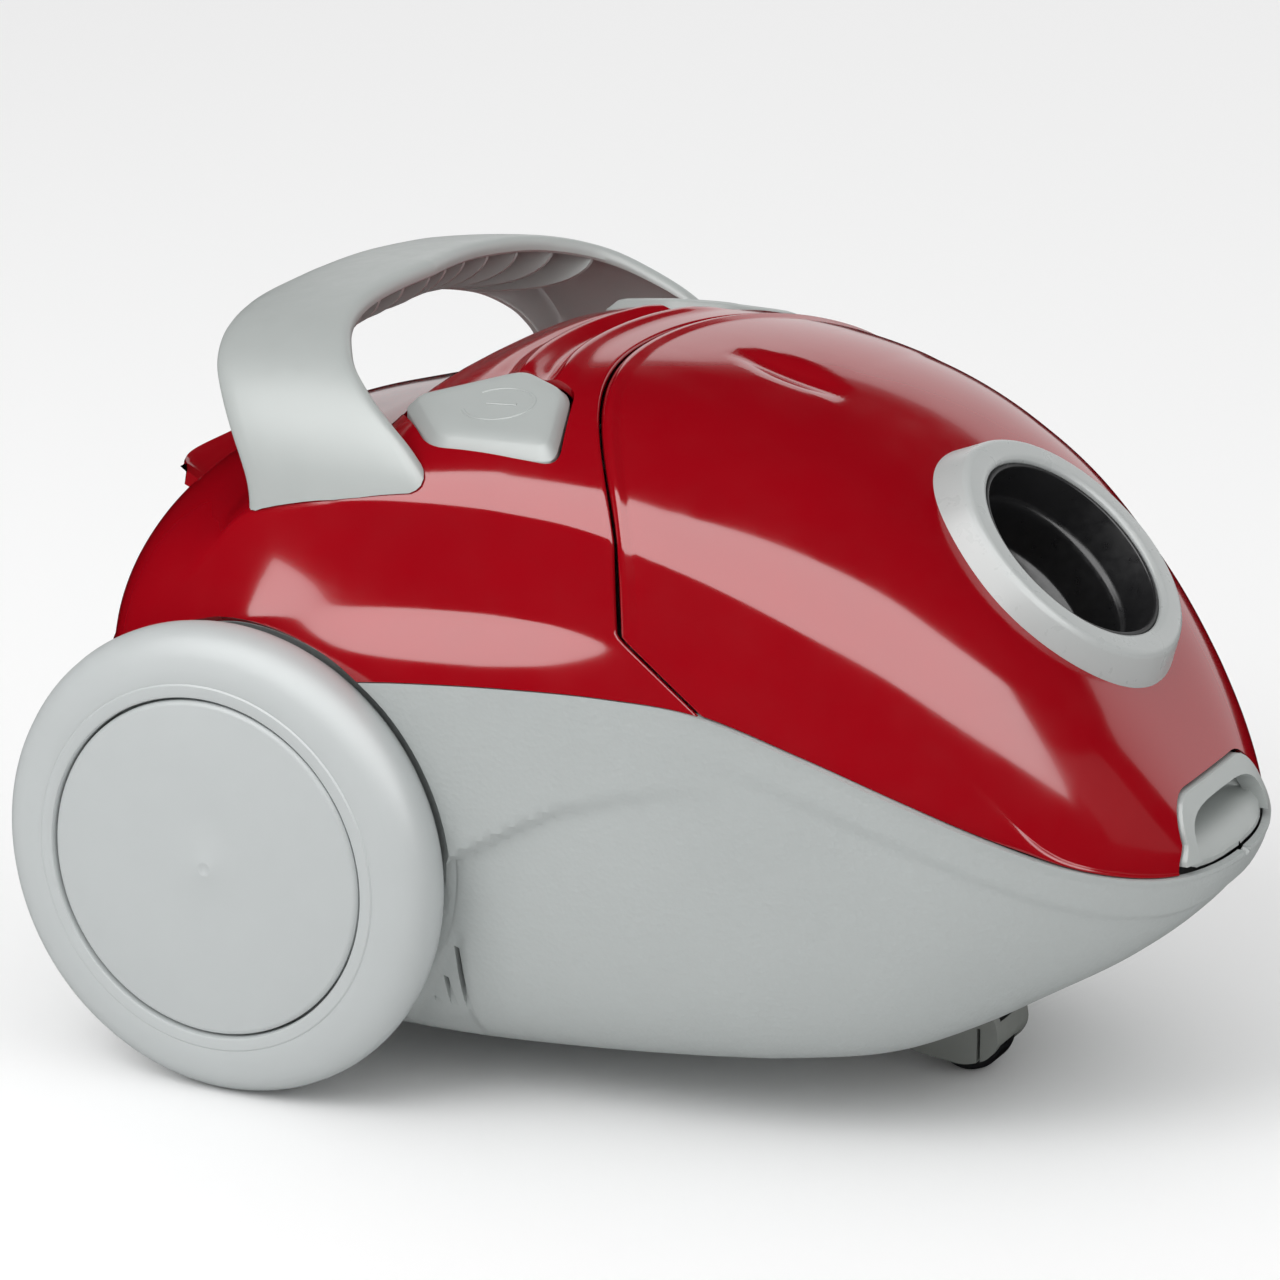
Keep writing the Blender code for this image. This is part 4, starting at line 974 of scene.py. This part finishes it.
# The finger scoop's section: depth behind the nose at full depth, and height.
SCOOP_PROFILE = ((5.0, 106.8), (21.5, 105.4), (23.0, 102.6), (23.0, 97.5), (21.5, 94.8), (9.5, 94.0),
                 (6.0, 91.5), (5.0, 89.0), (3.5, 87.4), (0.5, 86.6))


def latch_outline(inset, base_z):
    """Front view outline (y, z) of the latch opening: wide at the belt, arched on top."""
    foot = 37 - 0.25 * (base_z - 80) - inset
    radius = 14.0 - inset
    half = [(foot, base_z), (34.4 - inset, 91)]
    for k in range(9):
        angle = math.radians(90.0 * k / 8)
        half.append((19.0 + radius * math.cos(angle) * 0.92, 95.5 + radius * math.sin(angle)))
    return [(-y, z) for y, z in half] + list(reversed(half))


def make_latch():
    """The arched latch: a curved plate with a rounded rim round the finger hole."""
    stations = body_stations(70)[150:]
    table = column_table(lambda x: upper_half(x, inset=-LATCH_PROUD, fenders=False), stations)
    latch = thicken(from_grid("latch_frame", table), LATCH_THICKNESS)
    combine(latch, [prism("shape", latch_outline(1.2, 89.5), 156, 190, "X")], "INTERSECT")
    hole = [(-LATCH_HOLE_HALF, 80)]
    for k in range(17):
        angle = math.radians(180.0 - 180.0 * k / 16)
        across = math.copysign(abs(math.cos(angle)) ** 0.55, math.cos(angle))
        hole.append((LATCH_HOLE_HALF * across, 90.0 + 13.8 * math.sin(angle) ** 0.55))
    hole.append((LATCH_HOLE_HALF, 80))
    combine(latch, [prism("hole", hole, 150, 190, "X")])
    bevel_edges(latch, 1.0, 4, 50, 50)
    piece(latch, "latch", "grey_trim", "front_latch")


def make_scoop():
    """The finger recess behind the latch, trimmed to the inside of the body."""
    nose_x = np.linspace(120.0, NOSE_X - 0.01, 200)
    nose_width = np.array([belt_half_width(x) for x in nose_x])
    lines = []
    for y in np.linspace(-SCOOP_HALF_WIDTH, SCOOP_HALF_WIDTH, 61):
        depth = math.sqrt(max(1 - abs(y / SCOOP_HALF_WIDTH) ** 3, 0.0))
        edge = float(np.interp(abs(y), nose_width[::-1], nose_x[::-1]))
        line = [(edge + 12, y, 107.4)]
        line += [(edge + 1.0 - reach * depth, y, z) for reach, z in SCOOP_PROFILE]
        line += [(edge + 12, y, 86.2)]
        line = np.array(line)
        total = resample(line, [0.0])[1]
        lines.append(resample(line, np.linspace(0, total, 40))[0])
    grid = np.array(lines)
    scoop = to_object("latch_scoop", grid.reshape(-1, 3), grid_faces(*grid.shape[:2]))
    scoop.modifiers.new("soft", "SMOOTH").iterations = 4
    wall = scoop.modifiers.new("wall", "SOLIDIFY")
    wall.thickness = 1.2 * MM
    wall.offset = 0.0
    outward(bake(scoop))
    combine(scoop, [whole_body("trim", 1.4)], "INTERSECT")
    piece(scoop, "chassis", "grey_trim", "finger_scoop")


# ---- handle
HANDLE_ARCH = ((0, 237.5), (40, 235.4), (68, 230.5), (88, 222), (98, 211.5), (102.8, 200), (104.4, 176))
HANDLE_REAR = ((0, -145), (31, -144.5), (57, -139), (76, -132), (90, -124.5), (100.5, -115),
               (103.4, -110), (104.5, -106))
HANDLE_FRONT = ((0, -97), (30, -99.5), (48, -97), (63.5, -91.5), (73.5, -86), (83, -79.5), (92.4, -69),
                (97.3, -60.4), (101.6, -50), (103.2, -45.4), (104.5, -43))
HANDLE_TILT = 0.18
HANDLE_RIBS = 13
RIB_PITCH = 0.098
ARCH_PATH = smooth_samples(HANDLE_ARCH)
ARCH_LENGTH = np.r_[0.0, np.cumsum(np.hypot(*np.diff(ARCH_PATH, axis=0).T))]
REAR_EDGE = smooth_samples(HANDLE_REAR)
FRONT_EDGE = smooth_samples(HANDLE_FRONT)


def arch_point(share):
    """Point (y, z) of the arch at a signed share of its half length."""
    reach = abs(share) * ARCH_LENGTH[-1]
    y = float(np.interp(reach, ARCH_LENGTH, ARCH_PATH[:, 0]))
    return math.copysign(y, share), float(np.interp(reach, ARCH_LENGTH, ARCH_PATH[:, 1]))


def handle_frame(share):
    """Point, run, outward direction, rear x, front x and cross tilt at a share of the arch."""
    y, z = arch_point(share)
    before, after = arch_point(max(share - 0.02, -1.0)), arch_point(min(share + 0.02, 1.0))
    run = Vector((0, after[0] - before[0], after[1] - before[1])).normalized()
    out = Vector((0, -run.z, run.y))
    rear = float(np.interp(abs(y), REAR_EDGE[:, 0], REAR_EDGE[:, 1]))
    front = float(np.interp(abs(y), FRONT_EDGE[:, 0], FRONT_EDGE[:, 1]))
    tilt = HANDLE_TILT * max(0.0, 1 - (abs(y) / 106) ** 2.5)
    return Vector((0, y, z)), run, out, rear, front, tilt


def handle_point(place, x, drop):
    """A point of the cross-section, drop millimetres inside the outer skin."""
    return place[0] + Vector((x, 0, place[5] * (x + 100.0))) - place[2] * drop


def make_handle():
    """The hollow arch: a loft of one open-bottomed section, its ribs, and feet cut to the cover."""
    rings = []
    for share in np.linspace(-1.0, 1.0, 181):
        place = handle_frame(share)
        rear, front = place[3], place[4]
        crown = [(rear + 7 + (front - rear - 12) * k / 6, 0.5 * (2 * k / 6 - 1) ** 2) for k in range(7)]
        section = [(rear, 17.2), (rear, 5.0), (rear + 0.5, 3.0), (rear + 1.7, 1.7), (rear + 4, 0.9)] + crown
        section += [(front - 2.8, 0.9), (front - 1.2, 1.6), (front - 0.3, 2.8), (front, 4.4)]
        section += [(front - 0.3, 5.6), (front - 1.4, 6.2), (front - 2.6, 5.9), (front - 3.6, 4.9)]
        section += [(front - 7, 3.6), (rear + 7, 3.6), (rear + 4.4, 4.4), (rear + 3.0, 6.5)]
        section += [(rear + 2.8, 17.0), (rear + 2.3, 17.7), (rear + 0.6, 17.9)]
        rings.append([handle_point(place, x, drop) for x, drop in section])
    handle = loft("handle_arch", rings, smooth_angle=40)
    ribs = []
    for index in range(HANDLE_RIBS):
        place = handle_frame((index - HANDLE_RIBS // 2) * RIB_PITCH)
        rear, front = place[3] + 2.2, place[4] - 2.0
        outline = [(front, 4.0)]
        for k in range(11):
            angle = 0.5 * math.pi * k / 10
            outline.append((rear + (front - rear) * math.cos(angle) ** 0.7, 5.2 + 12.4 * math.sin(angle)))
        outline.append((rear, 4.0))
        rings = [[handle_point(place, x, drop) + place[1] * shift for x, drop in outline]
                 for shift in (-0.8, 0.8)]
        ribs.append(loft("rib", rings))
    combine(handle, ribs, "UNION", 40)
    combine(handle, [whole_body("seat", -0.5)], "DIFFERENCE", 40)
    foot = [(x, shoulder_height(x) + 0.4) for x in np.linspace(-150, -30, 25)]
    combine(handle, [prism("foot", [(-150, 100)] + foot + [(-30, 100)], -130, 130, "Y")], "DIFFERENCE", 40)
    return piece(handle, "chassis", "grey_trim", "carry_handle")


# ---- pedals
def pedal_outline(sign, grow=0.0, radius=6.5, steps=6):
    """Plan outline of a pedal with rounded corners."""
    corners = [Vector((x, sign * y)) for x, y, _ in PEDAL_CORNERS]
    count = len(corners)
    area = sum(corners[i].cross(corners[(i + 1) % count]) for i in range(count))
    side = 1.0 if area > 0 else -1.0
    moved = []
    for i in range(count):
        before, here, after = (corners[(i + k) % count] for k in (-1, 0, 1))
        first, second = (here - before).normalized(), (after - here).normalized()
        normals = [Vector((d.y, -d.x)) * side for d in (first, second)]
        bisector = (normals[0] + normals[1]).normalized()
        moved.append(here + bisector * (grow / bisector.dot(normals[0])))
    points = []
    for i in range(count):
        before, here, after = (moved[(i + k) % count] for k in (-1, 0, 1))
        start = here + (before - here).normalized() * radius
        end = here + (after - here).normalized() * radius
        points += corner_arc(start, here, end, steps)
    return points


def pedal_top_z(x, y):
    """Height of the pedal's tilted top plane."""
    first, second, third = (Vector(PEDAL_CORNERS[i]) for i in (0, 1, 3))
    normal = (second - first).cross(third - first)
    return first.z - (normal.x * (x - first.x) + normal.y * (abs(y) - first.y)) / normal.z


def raised_line(name, points, width, height):
    """A low rounded moulding along points that lie on a pedal's top."""
    rings = []
    count = len(points)
    for i, here in enumerate(points):
        before, after = points[max(i - 1, 0)], points[min(i + 1, count - 1)]
        run = (after - before).normalized()
        side = run.cross(Vector((0, 0, 1))).normalized()
        up = side.cross(run)
        ring = []
        for a, b in ((-0.5, -0.4), (-0.4, 0.6), (-0.15, 1.0), (0.15, 1.0), (0.4, 0.6), (0.5, -0.4)):
            ring.append(here + side * (a * width) + up * (b * height))
        rings.append(ring)
    return loft(name, rings)


def pedal_mark(sign):
    """A plain generic mark: an open ring with a short bar."""
    centre_x, centre_y = -37.0, sign * 69.0
    pieces = []
    arc = []
    for k in range(49):
        angle = math.radians(-150 + 290 * k / 48)
        x, y = centre_x + 11.5 * math.cos(angle), centre_y + 8.6 * math.sin(angle)
        arc.append(Vector((x, y, pedal_top_z(x, y))))
    pieces.append(raised_line("ring", arc, 1.1, 0.32))
    bar = []
    for k in range(9):
        x = centre_x - 4.0 + 10.0 * k / 8
        bar.append(Vector((x, centre_y, pedal_top_z(x, centre_y))))
    pieces.append(raised_line("bar", bar, 1.3, 0.32))
    return pieces


# Rings of a pedal's cap: how far the outline grows and how far it lies below the top plane.
PEDAL_RINGS = ((-1.0, 15.0), (-0.2, 14.0), (0.0, 8.0), (0.0, 4.5), (-0.12, 4.2), (-0.4, 3.95), (-2.5, 1.5),
               (-2.8, 1.2), (-3.3, 0.85), (-5.0, 0.3), (-7.0, 0.05), (-9.0, 0.0))


def make_pedals():
    stem_x, stem_y = PEDAL_STEM
    for name, sign in (("rewind_pedal", 1), ("power_pedal", -1)):
        rings = []
        for grow, drop in PEDAL_RINGS:
            plan = pedal_outline(sign, grow, radius=max(6.5 + grow * 0.6, 3.0))
            rings.append([(x, y, pedal_top_z(x, y) - drop) for x, y in plan])
        cap = loft("cap", rings, smooth_angle=28)
        stem = cylinder("stem", (stem_x, sign * stem_y, 181), (stem_x, sign * stem_y, 205), 3.6, 32)
        flange = lathe("flange", [(3.0, 195.2), (7.6, 195.2), (7.6, 196.8), (3.0, 196.8)],
                       (stem_x, sign * stem_y, 0), (0, 0, 1), 32)
        body = "rewind_button" if sign > 0 else "power_button"
        made = join(f"{name}_cap", [cap, stem, flange] + pedal_mark(sign))
        soften(made, 28)
        piece(made, body, "grey_trim", name)
        spring = coil(f"{name}_coil", (stem_x, sign * stem_y, 180.9), (0, 0, 1), 5.5, 0.7, 13.2, 6)
        node = name.replace("pedal", "spring")
        piece(spring, "chassis", "steel", node)
        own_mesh(spring)


def coil(name, start, axis, radius, wire, length, turns):
    """A round-wire spring along an axis."""
    place = place_along(start, axis)
    count = turns * 24
    centres = []
    for i in range(count + 1):
        angle = 2 * math.pi * turns * i / count
        local = Vector((radius * math.cos(angle), radius * math.sin(angle), length * i / count))
        centres.append(place @ local)
    rings = []
    axis = Vector(axis).normalized()
    for i, here in enumerate(centres):
        run = (centres[min(i + 1, count)] - centres[max(i - 1, 0)]).normalized()
        side = run.cross(axis).normalized()
        up = side.cross(run)
        rings.append([here + (side * math.cos(a) + up * math.sin(a)) * wire
                      for a in np.linspace(0, 2 * math.pi, 9)[:-1]])
    return loft(name, rings, smooth_angle=60)


# ---- hose inlet
LOBE_ANGLE = math.radians(150.0)


def ring_lobe(angle, radius, height):
    """Widens the hose ring's flange to a small lobe at its upper side."""
    if height > -13.0 or radius < HOSE_RING_RADIUS - 3.5:
        return radius, height
    upper = math.cos(angle - LOBE_ANGLE)
    return radius + 2.6 * float(smoothstep(upper, 0.86, 0.93)) * (radius > HOSE_RING_RADIUS - 1), height


def make_hose_inlet():
    r = HOSE_RING_RADIUS
    profile = [(34.0, -0.9), (35.4, -0.1), (36.2, 0.0), (40.5, 0.0), (41.6, -0.5), (42.6, -1.6), (45.2, -7.0),
               (r - 0.7, -12.6), (r - 0.1, -13.6), (r, -14.6), (r, -25.5), (r - 2.2, -26.0), (r - 3, -25.5),
               (r - 3, -15.5), (42.4, -8.8), (39, -3.4), (34.2, -3.4), (33.8, -2.2)]
    ring = lathe("hose_ring_trim", rounded(profile, 0.4, 2), HOSE_FACE, HOSE_AXIS, 160, wobble=ring_lobe)
    grey = satin_grey("grey_hose_ring", (0.455, 0.475, 0.47), 0.3)
    piece(ring, "lid", "grey_trim", "hose_ring", material=grey)
    profile = [(32.0, -1.7), (33.4, -1.7), (33.8, -2.4), (33.8, -9.4), (42, -9.4), (42, -12), (33.8, -12),
               (33.8, -44), (30.4, -46.5), (26.5, -46.5), (26.3, -45.0), (26.4, -36.0), (26.9, -33.4),
               (28.2, -31.6), (29.3, -30.6), (29.5, -29.4), (29.6, -17.0), (29.9, -15.6), (30.6, -14.9),
               (31.0, -14.0)]
    socket = lathe("hose_throat", rounded(profile, 0.5, 3), HOSE_FACE, HOSE_AXIS, 128)
    piece(socket, "lid", "dark_plastic", "hose_socket")


# ---- wheels and caster
def make_wheels():
    rim, face, disc = WHEEL_RADIUS, WHEEL_FACE_Y, DISC_RADIUS
    tyre = [(5.5, 101), (17, 101), (17, 106), (58, 106), (64, 107.2), (69.0, 109.8), (72.2, 113.4),
            (74.0, 116.6), (74.8, 119.4), (rim, 122.0), (74.6, 124.6), (73.6, 127.2), (71.9, 129.5),
            (69.6, 131.3), (66.6, 132.5), (62.8, 133.3), (59.4, 133.75), (58.7, 133.6), (58.2, 134.0),
            (55.2, face), (54.7, 134.0), (54.3, 133.3), (54.1, 126.5), (5.5, 126.5)]
    cap = [(0, 133.75), (1.3, 133.75), (1.9, 134.1), (2.5, 134.1), (3.0, 133.9), (20, 133.95),
           (disc - 1.6, 133.75), (disc - 0.6, 133.4), (disc, 132.7), (disc, 131.4), (0, 131.4)]
    for side, sign in (("left", 1), ("right", -1)):
        for part, profile, node in (("tyre", tyre, f"wheel_{side}"), ("disc", cap, f"wheel_cap_{side}")):
            made = lathe(f"wheel_{side}_{part}", profile, WHEEL_AXLE, (0, sign, 0), 192, smooth_angle=32)
            piece(made, f"wheel_{side}_body", "grey_shell", node, material=WHEEL_GREY)


def make_caster():
    x, axle_x = CASTER_X, CASTER_AXLE.x
    outline = [(x - 15, 16), (x - 12, 9.5), (x, 5.5), (axle_x + 2, 4), (axle_x + 10, 7), (axle_x + 13.5, 13),
               (axle_x + 12, 21), (axle_x + 6, 26.8), (x - 11, 26.8), (x - 15, 23)]
    fork = prism("caster_housing", rounded(outline, 3.0, 4), -12, 12, "Y")
    combine(fork, [cut_box("slot", (x + 1.8, -8.2, -5), (axle_x + 12.3, 8.2, 19)),
                   cut_box("slot_top", (x + 5.1, -8.2, 10), (axle_x + 12.3, 8.2, 24.6)),
                   cut_box("gap", (axle_x + 6.0, -20, 5), (axle_x + 7.2, 20, 17))])
    bevel_edges(fork, 0.8, 3, 40, 40)
    piece(fork, "caster_swivel", "grey_shell", "caster_fork", material=CASTER_GREY)
    profile = [(2.4, -7.6), (8.6, -7.6), (9.2, -7.1), (10.4, -7.3), (11.3, -6.4), (11.8, -4.6), (11.8, 4.6),
               (11.3, 6.4), (10.4, 7.3), (9.2, 7.1), (8.6, 7.6), (2.4, 7.6)]
    roller = lathe("caster_roller_tyre", rounded(profile, 0.4, 2), CASTER_AXLE, (0, 1, 0), 72)
    piece(roller, "caster_roller", "dark_plastic", "caster_wheel")


def make_cord_gland():
    profile = [(5, -166), (8.4, -166), (8.4, -172.9), (11.5, -172.9), (11.5, -174.6), (10.6, -175.6),
               (8.0, -176.4), (6.4, -176.3), (5.3, -175.0), (5.0, -173.4)]
    gland = lathe("cord_gland", rounded(profile, 0.4, 2), CORD_OUTLET, (1, 0, 0), 72)
    piece(gland, "chassis", "dark_plastic", "cord_outlet")


# ---- dust bag
BAG_OUTLINE = ((-6, 40), (2, 34), (90, 43), (98, 52), (100, 108), (52, 151), (34, 160), (6, 160), (-6, 148))
CLOTH_VOXEL = 4.5
CLOTH_STEPS = 15
CLOTH_CAP = 2.5


def make_dust_bag():
    """The cloth bag: a swollen block with pinched seams along its edges."""
    low, high = (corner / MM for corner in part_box("dust_bag"))
    middle, half = (low + high) / 2, (high - low) / 2
    dense = []
    for i, here in enumerate(BAG_OUTLINE):
        after = BAG_OUTLINE[(i + 1) % len(BAG_OUTLINE)]
        for k in range(7):
            dense.append((here[0] + (after[0] - here[0]) * k / 7, here[1] + (after[1] - here[1]) * k / 7))
    centre = np.mean(dense, axis=0)
    rings = []
    for share in np.linspace(-1.0, 1.0, 33):
        swell = (1 - abs(share) ** 6) ** 0.5 * 0.16 + 0.8
        ring = []
        for k, (x, z) in enumerate(dense):
            pucker = 0.012 * math.sin(k * 1.9 + 2.0 * share) * (1 - share**2) + 0.018 * math.sin(k * 0.8)
            grow = swell + pucker
            ring.append((centre[0] + (x - centre[0]) * grow, middle.y + half.y * 0.97 * share,
                         centre[1] + (z - centre[1]) * grow))
        rings.append(ring)
    bag = loft("dust_bag_cloth", rings, smooth_angle=60)
    swell_cloth(bag, cap=CLOTH_CAP * MM)
    soft = bag.modifiers.new("soft", "SUBSURF")
    soft.levels = soft.render_levels = 1
    bake(bag, 60)
    piece(bag, "chassis", "filter_cloth", "dust_bag")


def swell_cloth(made, cap):
    """Blows the bag up a little so that its cloth creases, and caps how far a point moves."""
    remesh = made.modifiers.new("remesh", "REMESH")
    remesh.mode = "VOXEL"
    remesh.voxel_size = CLOTH_VOXEL * MM
    bake(made, 60)
    before = np.array([vertex.co for vertex in made.data.vertices])
    cloth = made.modifiers.new("cloth", "CLOTH")
    cloth.settings.use_pressure = True
    cloth.settings.uniform_pressure_force = 3.0
    cloth.settings.effector_weights.gravity = 0.0
    cloth.settings.bending_stiffness = 0.2
    scene = bpy.context.scene
    for step in range(1, CLOTH_STEPS + 1):
        scene.frame_set(step)
    bake(made, 60)
    after = np.array([vertex.co for vertex in made.data.vertices])
    moved = after - before
    lengths = np.linalg.norm(moved, axis=1, keepdims=True)
    limited = before + moved * np.minimum(1.0, cap / np.maximum(lengths, 1e-9))
    made.data.vertices.foreach_set("co", limited.ravel())
    made.data.update()
    scene.frame_set(1)


# ---- the rest of the frame and the studio
def dress_frame():
    """Gives every CAD node that stays visible its procedural material."""
    slots = {entry["node"]: entry["material_slot"] for entry in frame["record"]["subparts"]}
    for name, node in frame["nodes"].items():
        if not node.material_slots:
            node.data.materials.append(MATERIALS[slots[name]])
        for slot in node.material_slots:
            slot.material = MATERIALS[slots[name]]


WORLD_STRENGTH = 0.84
LIGHT_AIM = (0.0, 0.0, 0.12)
# Panels seen only in reflections: name, place, size and power.
PANELS = (("side_panel", (0.62, -0.69, 1.31), (4.4, 1.95), 119.0),
          ("back_panel", (0.2, 2.2, 0.65), (4.0, 1.1), 12.0),
          ("front_panel", (2.4, 0.3, 0.6), (1.4, 1.0), 0.8))
SIDE_PANEL_BACK = Vector((0.18, -0.71, 0.68))
FLOOR_HALF = 6.0


def area_light(name, place, size, power):
    """A rectangular light aimed at the middle of the object."""
    light = bpy.data.lights.new(name, "AREA")
    light.shape = "RECTANGLE"
    light.size, light.size_y = size
    light.energy = power
    made = bpy.data.objects.new(name, light)
    made.location = place
    made.rotation_euler = (Vector(LIGHT_AIM) - Vector(place)).to_track_quat("-Z", "Y").to_euler()
    bpy.context.scene.collection.objects.link(made)
    return made


def make_studio():
    """White fill for the shading, and separate panels for what the gloss reflects."""
    scene = bpy.context.scene
    scene.view_settings.view_transform = "Standard"
    world = bpy.data.worlds.new("studio")
    scene.world = world
    world.use_nodes = True
    background = world.node_tree.nodes["Background"]
    background.inputs["Color"].default_value = (1.0, 1.0, 1.0, 1.0)
    background.inputs["Strength"].default_value = WORLD_STRENGTH
    world.cycles_visibility.glossy = False
    key = area_light("key_light", (-0.5, -1.3, 1.5), (1.2, 1.2), 13)
    key.visible_glossy = False
    for name, place, size, power in PANELS:
        panel = area_light(name, place, size, power)
        panel.visible_diffuse = False
        if name == "side_panel":
            panel.rotation_euler = SIDE_PANEL_BACK.to_track_quat("Z", "Y").to_euler()
    size = FLOOR_HALF / MM
    corners = [(-size, -size, 0), (size, -size, 0), (size, size, 0), (-size, size, 0)]
    floor = to_object("studio_floor", corners, [(0, 1, 2, 3)])
    floor.visible_glossy = False
    paint = Shader("pale_floor", (0.95, 0.95, 0.95), 0.85)
    paint.tint(paint.noise(2.0), 0.995, 1.0)
    floor.data.materials.append(paint.material)


CAMERA_BACK = Vector((0.4345, -0.8480, 0.3034)).normalized()
CAMERA_TARGET = Vector((-0.0245, 0.0, 0.1221))
CAMERA_DISTANCE = 1.849
CAMERA_LENS = 164.8


def make_camera():
    camera = bpy.data.cameras.new("camera")
    camera.sensor_width = 36.0
    camera.lens = CAMERA_LENS
    camera.clip_end = 50.0
    made = bpy.data.objects.new("camera", camera)
    made.location = CAMERA_TARGET + CAMERA_BACK * CAMERA_DISTANCE
    made.rotation_euler = (-CAMERA_BACK).to_track_quat("-Z", "Y").to_euler()
    bpy.context.scene.collection.objects.link(made)
    bpy.context.scene.camera = made


make_camera()
make_studio()
dress_frame()
for make in (make_lid, make_cover, make_tub, make_well_liners, make_caster_cup, make_rear_door, make_latch,
             make_scoop, make_handle, make_pedals, make_hose_inlet, make_wheels, make_caster, make_cord_gland,
             make_dust_bag):
    make()
